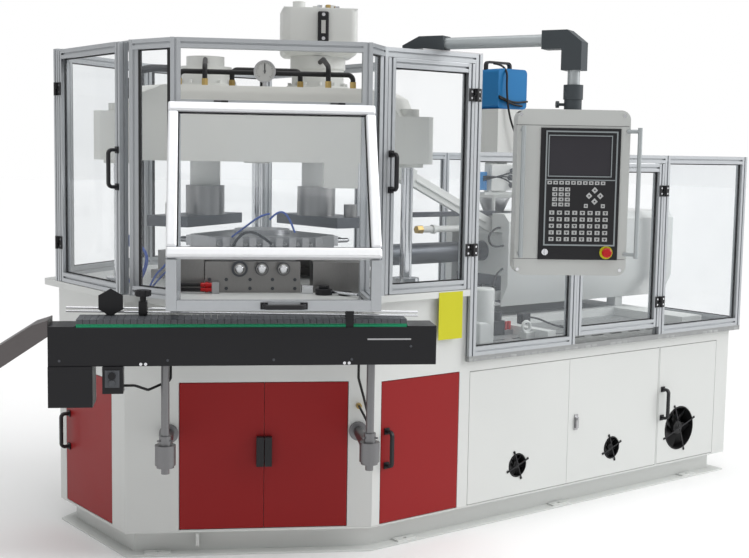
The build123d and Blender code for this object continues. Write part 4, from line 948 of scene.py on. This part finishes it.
# screws on the black hinges of the guard doors
guardHinges = {
    "left_guard_door": {"place": leftEnd, "spot": (0.884, -0.302), "side": 1, "zs": (1.968, 1.286)},
    "front_guard_door": {"place": longFace, "spot": (0.874, 0.545), "side": -1, "zs": (1.968, 1.286)},
    "deck_guard_door": {"place": longFace, "spot": (0.874, 1.850), "side": -1, "zs": (1.541, 0.975)},
}
hingeScrew = {
    "radius": 0.005,
    "sides": 12,
    "high": 0.002,
    "sunk": 0.001,
    "leaf": 0.004,
    "rises": (-0.014, 0.014),
    "postOffset": -0.022,
    "doorOffset": 0.024,
}


def makeHingeScrews(name, body, offset, facts):
    face, axis = facts["spot"]
    leaf = face + hingeScrew["leaf"]
    xs = (leaf - hingeScrew["sunk"], leaf + hingeScrew["high"])
    zs = [z + rise for z in facts["zs"] for rise in hingeScrew["rises"]]
    screws = {
        "slot": "bright_chrome",
        "stud": (xs, hingeScrew["radius"], hingeScrew["sides"]),
        "spots": crossed([axis + facts["side"] * offset], zs),
    }
    makePlain(name, screws, body, facts["place"])


for doorName, facts in guardHinges.items():
    makeHingeScrews(doorName + "PostScrews", "machine", hingeScrew["postOffset"], facts)
    makeHingeScrews(doorName + "LeafScrews", bodyOf[doorName], hingeScrew["doorOffset"], facts)
print("hinge screws made")


# oil tank: level gauge on the front and fittings on the lid
tankPieces = {
    "levelGauge": {
        "slot": "black_plastic",
        "bevel": 0.008,
        "segments": 4,
        "boxes": {"body": ((0.149, 0.168), (-0.016, 0.036), (2.222, 2.364))},
    },
    "levelWindow": {
        "slot": "grey_plastic",
        "finish": "gaugeFace",
        "boxes": {"glass": ((0.1675, 0.170), (0.000, 0.020), (2.262, 2.322))},
    },
    "levelBolts": {
        "slot": "bright_chrome",
        "stud": ((0.167, 0.174), 0.009, 6),
        "spots": ((0.010, 2.238), (0.010, 2.348)),
    },
    "tankPlugs": {
        "slot": "bright_chrome",
        "bevel": 0.001,
        "rods": {
            "left": ((0.075, 0.000, 2.382), (0.075, 0.000, 2.402), 0.012, 6),
            "right": ((0.075, 0.080, 2.382), (0.075, 0.080, 2.398), 0.014, 6),
        },
    },
    "brassPlug": {
        "slot": "brass_fitting",
        "bevel": 0.001,
        "rods": {"plug": ((0.075, 0.040, 2.382), (0.075, 0.040, 2.404), 0.012, 6)},
    },
}
makePlains(tankPieces, place=tankPlace)


# pressure gauge: pale dial with tick marks under the needle
dial = {
    "centre": (0.4362, -0.011, 2.052),
    "back": 0.4305,
    "thick": 0.001,
    "radius": 0.0425,
    "tickCount": 20,
    "tickSweep": 270,
    "tickReach": 0.038,
    "tickLong": 0.009,
    "tickShort": 0.005,
    "tickHalf": 0.0006,
    "tickHigh": 0.0005,
}


def makeDial():
    centre = Vector(dial["centre"])
    back, front = dial["back"], dial["back"] + dial["thick"]
    face = rod((back, *centre[1:]), (front, *centre[1:]), dial["radius"], bay, 48)
    makePiece("gaugeDial", face, "machine", "stainless", finish="gaugeFace")
    ticks = []
    reach, half = dial["tickReach"], dial["tickHalf"]
    for step in range(dial["tickCount"] + 1):
        angle = math.radians(dial["tickSweep"] * (step / dial["tickCount"] - 0.5))
        spin = Matrix.Translation((front, centre.y, centre.z)) @ Matrix.Rotation(angle, 4, "X")
        long = dial["tickShort"] if step % 5 else dial["tickLong"]
        ticks.append(block((0, dial["tickHigh"]), (-half, half), (reach - long, reach), bay @ spin))
    makePiece("gaugeTicks", joined(ticks), "machine", "black_plastic")


makeDial()
print("head fittings made")


# stripping bench: knobs, clamps and hose ends seen under the hood
benchPieces = {
    "knobDiscs": {
        "slot": "dark_steel",
        "bevel": 0.002,
        "rods": {
            "left": ((0.6555, -0.120, 1.215), (0.665, -0.120, 1.215), 0.034, 36),
            "middle": ((0.6555, -0.027, 1.215), (0.665, -0.027, 1.215), 0.028, 36),
            "right": ((0.6555, 0.064, 1.215), (0.665, 0.064, 1.215), 0.028, 36),
        },
    },
    "knobDomes": {
        "slot": "bright_chrome",
        "bevel": 0.003,
        "stud": ((0.6725, 0.684), 0.021, 36, 0.014),
        "spots": crossed((-0.120, -0.027, 0.064), (1.215,)),
    },
    "benchBolts": {
        "slot": "dark_steel",
        "bevel": 0.001,
        "stud": ((0.620, 0.625), 0.008, 6),
        "spots": crossed((-0.245, -0.175, -0.075, 0.020, 0.115), (1.128, 1.166)),
    },
    "redCouplings": {
        "slot": "stop_red",
        "bevel": 0.001,
        "rods": {
            "lower": ((0.660, -0.282, 1.1275), (0.660, -0.232, 1.1275), 0.009),
            "lowerCollar": ((0.660, -0.262, 1.1275), (0.660, -0.250, 1.1275), 0.0115),
            "upper": ((0.660, -0.282, 1.147), (0.660, -0.232, 1.147), 0.009),
            "upperCollar": ((0.660, -0.262, 1.147), (0.660, -0.250, 1.147), 0.0115),
        },
    },
    "couplingBlock": {
        "slot": "steel",
        "bevel": 0.001,
        "boxes": {"body": ((0.621, 0.669), (-0.236, -0.205), (1.1103, 1.158))},
    },
    "roundKnobs": {
        "slot": "black_plastic",
        "bevel": 0.003,
        "rods": {
            "wide": ((0.700, 0.232, 1.1103), (0.700, 0.232, 1.136), 0.036, 36),
            "cap": ((0.700, 0.232, 1.136), (0.700, 0.232, 1.150), 0.022, 36),
            "low": ((0.716, 0.322, 1.1103), (0.716, 0.322, 1.126), 0.030, 36),
        },
    },
    "benchStay": {
        "slot": "bright_chrome",
        "bevel": 0.001,
        "boxes": {"foot": ((0.622, 0.668), (0.142, 0.190), (1.1103, 1.145))},
        "rods": {"stay": ((0.640, 0.205, 1.1225), (0.800, 0.365, 1.1225), 0.007)},
    },
}
benchHoses = {
    "benchHose0": [
        (0.66, -0.282, 1.1275), (0.66, -0.33, 1.1275), (0.63, -0.37, 1.1235), (0.58, -0.43, 1.122),
    ],
    "benchHose1": [
        (0.66, -0.282, 1.147), (0.66, -0.33, 1.147), (0.63, -0.37, 1.143), (0.58, -0.43, 1.122),
    ],
}
makePlains(benchPieces, place=bay)
makeRuns(benchHoses, "bench", place=bay)

# blue air hoses, a dark cable and a thick conduit in the bay, in the bay's own axes
airHoses = {
    "coilA": [
        (0.50, -0.583, 1.343), (0.50, -0.592, 1.28), (0.50, -0.545, 1.31), (0.50, -0.500, 1.25),
        (0.50, -0.535, 1.14), (0.50, -0.595, 1.13), (0.50, -0.600, 1.20),
    ],
    "coilB": [(0.52, -0.580, 1.320), (0.52, -0.565, 1.24), (0.52, -0.580, 1.16), (0.52, -0.545, 1.118)],
    "coilC": [(0.53, -0.550, 1.300), (0.53, -0.508, 1.28), (0.53, -0.520, 1.19), (0.53, -0.560, 1.13)],
    "runA": [(0.50, -0.500, 1.118), (0.50, -0.480, 1.17), (0.50, -0.435, 1.21), (0.49, -0.400, 1.262)],
    "runB": [(0.48, -0.490, 1.118), (0.48, -0.455, 1.16), (0.48, -0.425, 1.19), (0.48, -0.395, 1.20)],
    "archA": [(0.47, -0.150, 1.335), (0.50, -0.096, 1.38), (0.52, -0.023, 1.436), (0.52, 0.011, 1.44)],
    "archB": [(0.52, 0.011, 1.415), (0.53, 0.050, 1.46), (0.53, 0.095, 1.43), (0.53, 0.119, 1.36)],
}
headCables = {
    "headCable": [
        (0.52, -0.16, 1.26), (0.55, -0.147, 1.31), (0.55, -0.10, 1.365), (0.55, -0.04, 1.36),
        (0.52, 0.02, 1.31),
    ],
}
conduits = {
    "conduit": [
        (0.50, -0.585, 1.92), (0.50, -0.585, 1.97), (0.50, -0.563, 2.02), (0.50, -0.50, 2.055),
        (0.46, -0.40, 2.05),
    ],
}
makeRuns(airHoses, "air", place=bay, finish="airBlue")
makeRuns(headCables, "head", place=bay)
makeRuns(conduits, "conduit", place=bay)
print("bay details made")


# boxes, rods and castings that ride on the carriage
carriagePieces = {
    "junctionBox": {
        "slot": "tank_paint",
        "bevel": 0.004,
        "boxes": {"case": ((1.330, 1.560), (-0.150, -0.131), (1.520, 1.660))},
    },
    "valveBox": {
        "slot": "blue_paint",
        "bevel": 0.003,
        "boxes": {"case": ((1.258, 1.313), (-0.135, -0.095), (1.524, 1.619))},
    },
    "boxStay": {
        "slot": "tank_paint",
        "bevel": 0.001,
        "boxes": {
            "level": ((1.300, 1.600), (-0.131, -0.094), (1.4985, 1.512)),
            "upright": ((1.330, 1.350), (-0.131, -0.094), (1.512, 1.660)),
        },
    },
    "guideBar": {
        "slot": "dark_steel",
        "bevel": 0.002,
        "boxes": {"bar": ((0.830, 1.420), (-0.098, -0.072), (1.386, 1.412))},
    },
    "ejectorRod": {
        "slot": "tank_paint",
        "bevel": 0.001,
        "rods": {
            "rod": ((0.930, -0.06, 1.320), (1.420, -0.06, 1.320), 0.017),
            "collar": ((1.000, -0.06, 1.320), (1.020, -0.06, 1.320), 0.024),
        },
    },
    "rodNut": {
        "slot": "brass_fitting",
        "bevel": 0.001,
        "rods": {"nut": ((0.895, -0.06, 1.320), (0.930, -0.06, 1.320), 0.021, 6, 0.024)},
    },
    # cable glands on the face of the junction box
    "glands": {
        "slot": "grey_plastic",
        "bevel": 0.002,
        "rods": {
            "upper": ((1.475, -0.178, 1.625), (1.475, -0.149, 1.625), 0.015),
            "middle": ((1.460, -0.178, 1.590), (1.460, -0.149, 1.590), 0.015),
            "lower": ((1.470, -0.178, 1.550), (1.470, -0.149, 1.550), 0.015),
        },
    },
    # seen through the open end of the cover
    "unitShield": {
        "slot": "white_paint",
        "bevel": 0.003,
        "boxes": {"plate": ((1.412, 1.4195), (-0.190, 0.190), (1.065, 1.295))},
    },
}
makePlains(carriagePieces, carriage)

# slanted casting over the barrel, in its own leaning axes
castBrace = {
    "slot": "tank_paint",
    "bevel": 0.003,
    "boxes": {
        "web": ((-0.66, 0.0), (-0.014, 0.014), (-0.035, 0.035)),
        "foot": ((-0.70, -0.62), (-0.030, 0.030), (-0.045, 0.045)),
        "flange": ((-0.60, -0.06), (-0.022, 0.022), (-0.006, 0.006)),
    },
}
bracePlace = Matrix.Translation((1.40, -0.085, 1.325)) @ Matrix.Rotation(math.radians(24.5), 4, "Y")
makePlain("castBrace", castBrace, carriage, bracePlace)

# from each gland to the valve box
glandTails = {
    "glandTail0": [
        (1.475, -0.176, 1.625), (1.445, -0.205, 1.625), (1.36, -0.19, 1.60), (1.285, -0.133, 1.575),
    ],
    "glandTail1": [
        (1.460, -0.176, 1.590), (1.430, -0.205, 1.590), (1.36, -0.19, 1.60), (1.285, -0.133, 1.585),
    ],
    "glandTail2": [
        (1.470, -0.176, 1.550), (1.440, -0.205, 1.550), (1.36, -0.19, 1.60), (1.285, -0.133, 1.595),
    ],
}
carriageRuns = {
    "loaderCable": [
        (1.455, -0.012, 2.198), (1.440, -0.135, 2.185), (1.430, -0.140, 2.05),
        (1.450, -0.150, 1.90), (1.500, -0.160, 1.80), (1.530, -0.150, 1.66),
    ],
    "loaderStrapA": [
        (1.392, -0.124, 2.02), (1.430, -0.126, 2.005), (1.520, -0.126, 1.985), (1.602, -0.124, 1.998),
    ],
    "loaderStrapB": [
        (1.392, -0.129, 2.01), (1.440, -0.131, 1.995), (1.500, -0.131, 1.975), (1.560, -0.128, 1.972),
    ],
    "nozzleLoopA": [
        (1.395, -0.16, 1.323), (1.30, -0.24, 1.335), (1.215, -0.26, 1.300),
        (1.225, -0.26, 1.245), (1.30, -0.25, 1.228), (1.42, -0.185, 1.235),
    ],
    "nozzleLoopB": [
        (1.42, -0.18, 1.113), (1.30, -0.25, 1.110), (1.245, -0.26, 1.02), (1.25, -0.26, 0.90),
    ],
}
makeRuns(glandTails, "gland", carriage)
makeRuns(carriageRuns, "carriage", carriage)


# cover by the corner of the table, valve block with red caps, and a cable on the deck
deckPieces = {
    "cornerCover": {
        "slot": "white_paint",
        "bevel": 0.012,
        "segments": 4,
        "boxes": {"base": ((0.800, 0.900), (-0.660, -0.560), (0.8063, 0.915))},
        "rods": {"dome": ((0.870, -0.610, 0.900), (0.870, -0.610, 1.075), 0.052)},
    },
    "deckValves": {
        "slot": "black_plastic",
        "bevel": 0.003,
        "boxes": {
            "block": ((1.080, 1.150), (-0.470, -0.410), (0.8063, 0.880)),
            "switch": ((1.270, 1.330), (-0.470, -0.430), (0.8503, 0.905)),
        },
        "rods": {"knob": ((1.115, -0.440, 0.880), (1.115, -0.440, 0.925), 0.028)},
    },
    "deckCaps": {
        "slot": "stop_red",
        "bevel": 0.001,
        "rods": {
            "left": ((1.165, -0.455, 0.830), (1.165, -0.455, 0.872), 0.010),
            "right": ((1.191, -0.455, 0.830), (1.191, -0.455, 0.872), 0.010),
        },
    },
    "deckRail": {
        "slot": "steel",
        "bevel": 0.001,
        "boxes": {"rail": ((1.150, 1.208), (-0.470, -0.440), (0.8063, 0.830))},
    },
    # on the edge of the table
    "yellowPlate": {
        "slot": "white_paint",
        "finish": "plateYellow",
        "boxes": {"plate": ((0.360, 0.498), (-0.876, -0.8745), (0.895, 1.105))},
    },
}
deckCables = {
    "deckCable": [
        (1.30, -0.43, 0.88), (1.42, -0.40, 0.875), (1.50, -0.46, 0.83), (1.56, -0.52, 0.815),
        (1.60, -0.42, 0.815),
    ],
}
makePlains(deckPieces)
makeRuns(deckCables, "deck")
print("injection side details made")


# slot, screws and socket plate on the outer face of the conveyor
conveyorPieces = {
    "conveyorSlot": {"slot": "steel", "boxes": {"slot": ((1.1725, 1.1738), (0.36, 0.53), (0.990, 0.996))}},
    "conveyorScrews": {
        "slot": "dark_steel",
        "stud": ((1.1728, 1.1748), 0.005, 12),
        "spots": ((0.53, 0.965), (-0.80, 0.915), (-0.40, 0.915), (0.0, 0.915), (0.30, 0.915)),
    },
    "conveyorBolts": {
        "slot": "bright_chrome",
        "stud": ((1.1728, 1.1752), 0.006, 16),
        "spots": crossed((-0.500, -0.482, 0.272, 0.290), (0.901,)),
    },
    "speedPlate": {
        "slot": "grey_plastic",
        "bevel": 0.001,
        "boxes": {"plate": ((1.1835, 1.190), (-0.632, -0.578), (0.815, 0.880))},
        "rods": {"socket": ((1.189, -0.606, 0.833), (1.196, -0.606, 0.833), 0.012)},
    },
}
makePlains(conveyorPieces, place=bay)
print("small plates made")

# camera at the photograph's angle
cameraFacts = {
    "place": (-3.0963, -4.8939, 1.7031),
    "yaw": 37.628,
    "pitch": 5.847,
    "roll": 0.937,
    "focalPixels": 1219.3,
    "imageWidth": 749,
    "sensorWidth": 36.0,
    "farthest": 300,
}


def makeCamera():
    yaw, pitch = math.radians(cameraFacts["yaw"]), math.radians(cameraFacts["pitch"])
    roll = math.radians(cameraFacts["roll"])
    ahead = Vector((math.sin(yaw) * math.cos(pitch), math.cos(yaw) * math.cos(pitch), -math.sin(pitch)))
    level = Vector((math.cos(yaw), -math.sin(yaw), 0))
    above = level.cross(ahead)
    across = level * math.cos(roll) + above * math.sin(roll)
    upright = above * math.cos(roll) - level * math.sin(roll)
    turn = Matrix((across, upright, -ahead)).transposed()
    data = bpy.data.cameras.new("photoView")
    data.sensor_width = cameraFacts["sensorWidth"]
    data.lens = cameraFacts["sensorWidth"] * cameraFacts["focalPixels"] / cameraFacts["imageWidth"]
    data.clip_end = cameraFacts["farthest"]
    camera = bpy.data.objects.new("photoView", data)
    camera.matrix_world = Matrix.Translation(cameraFacts["place"]) @ turn.to_4x4()
    bpy.context.collection.objects.link(camera)
    bpy.context.scene.camera = camera


makeCamera()

# plain studio: three broad lamps, each by the direction the light comes from
lamps = {
    "key": {"from": (0.75, -0.55, 0.42), "strength": 1.7, "spread": 35},
    "fill": {"from": (-0.90, 0.05, 0.35), "strength": 0.35, "spread": 60},
    "top": {"from": (0.05, -0.15, 1.0), "strength": 2.1, "spread": 70},
}
studio = {"ambient": 0.15, "mirror": 0.45, "floorHalf": 60.0, "floorColour": (0.95, 0.95, 0.95, 1)}


def makeStudio():
    for name, facts in lamps.items():
        data = bpy.data.lights.new(name, "SUN")
        data.energy = facts["strength"]
        data.angle = math.radians(facts["spread"])
        lamp = bpy.data.objects.new(name, data)
        lamp.rotation_mode = "QUATERNION"
        lamp.rotation_quaternion = Vector(facts["from"]).to_track_quat("Z", "Y")
        bpy.context.collection.objects.link(lamp)
    world = bpy.data.worlds.new("studio")
    world.use_nodes = True
    tree = world.node_tree
    ground = tree.nodes["Background"]
    rays = tree.nodes.new("ShaderNodeLightPath")
    seen = Value(tree, rays.outputs["Is Camera Ray"]) + Value(tree, rays.outputs["Is Transmission Ray"])
    strength = studio["ambient"] + seen * (1.0 - studio["ambient"])
    strength = strength + Value(tree, rays.outputs["Is Glossy Ray"]) * studio["mirror"]
    ground.inputs["Color"].default_value = (1, 1, 1, 1)
    tree.links.new(strength.socket, ground.inputs["Strength"])
    bpy.context.scene.world = world
    bpy.context.scene.view_settings.view_transform = "Standard"
    sheet = bmesh.new()
    bmesh.ops.create_grid(sheet, x_segments=1, y_segments=1, size=studio["floorHalf"])
    mesh = bpy.data.meshes.new("floor")
    sheet.to_mesh(mesh)
    sheet.free()
    floor = bpy.data.objects.new("floor", mesh)
    bpy.context.collection.objects.link(floor)
    made = Finish("floorWhite")
    mesh.materials.append(made.set({"Base Color": studio["floorColour"], "Roughness": 0.8}))


makeStudio()
print("camera and studio made")
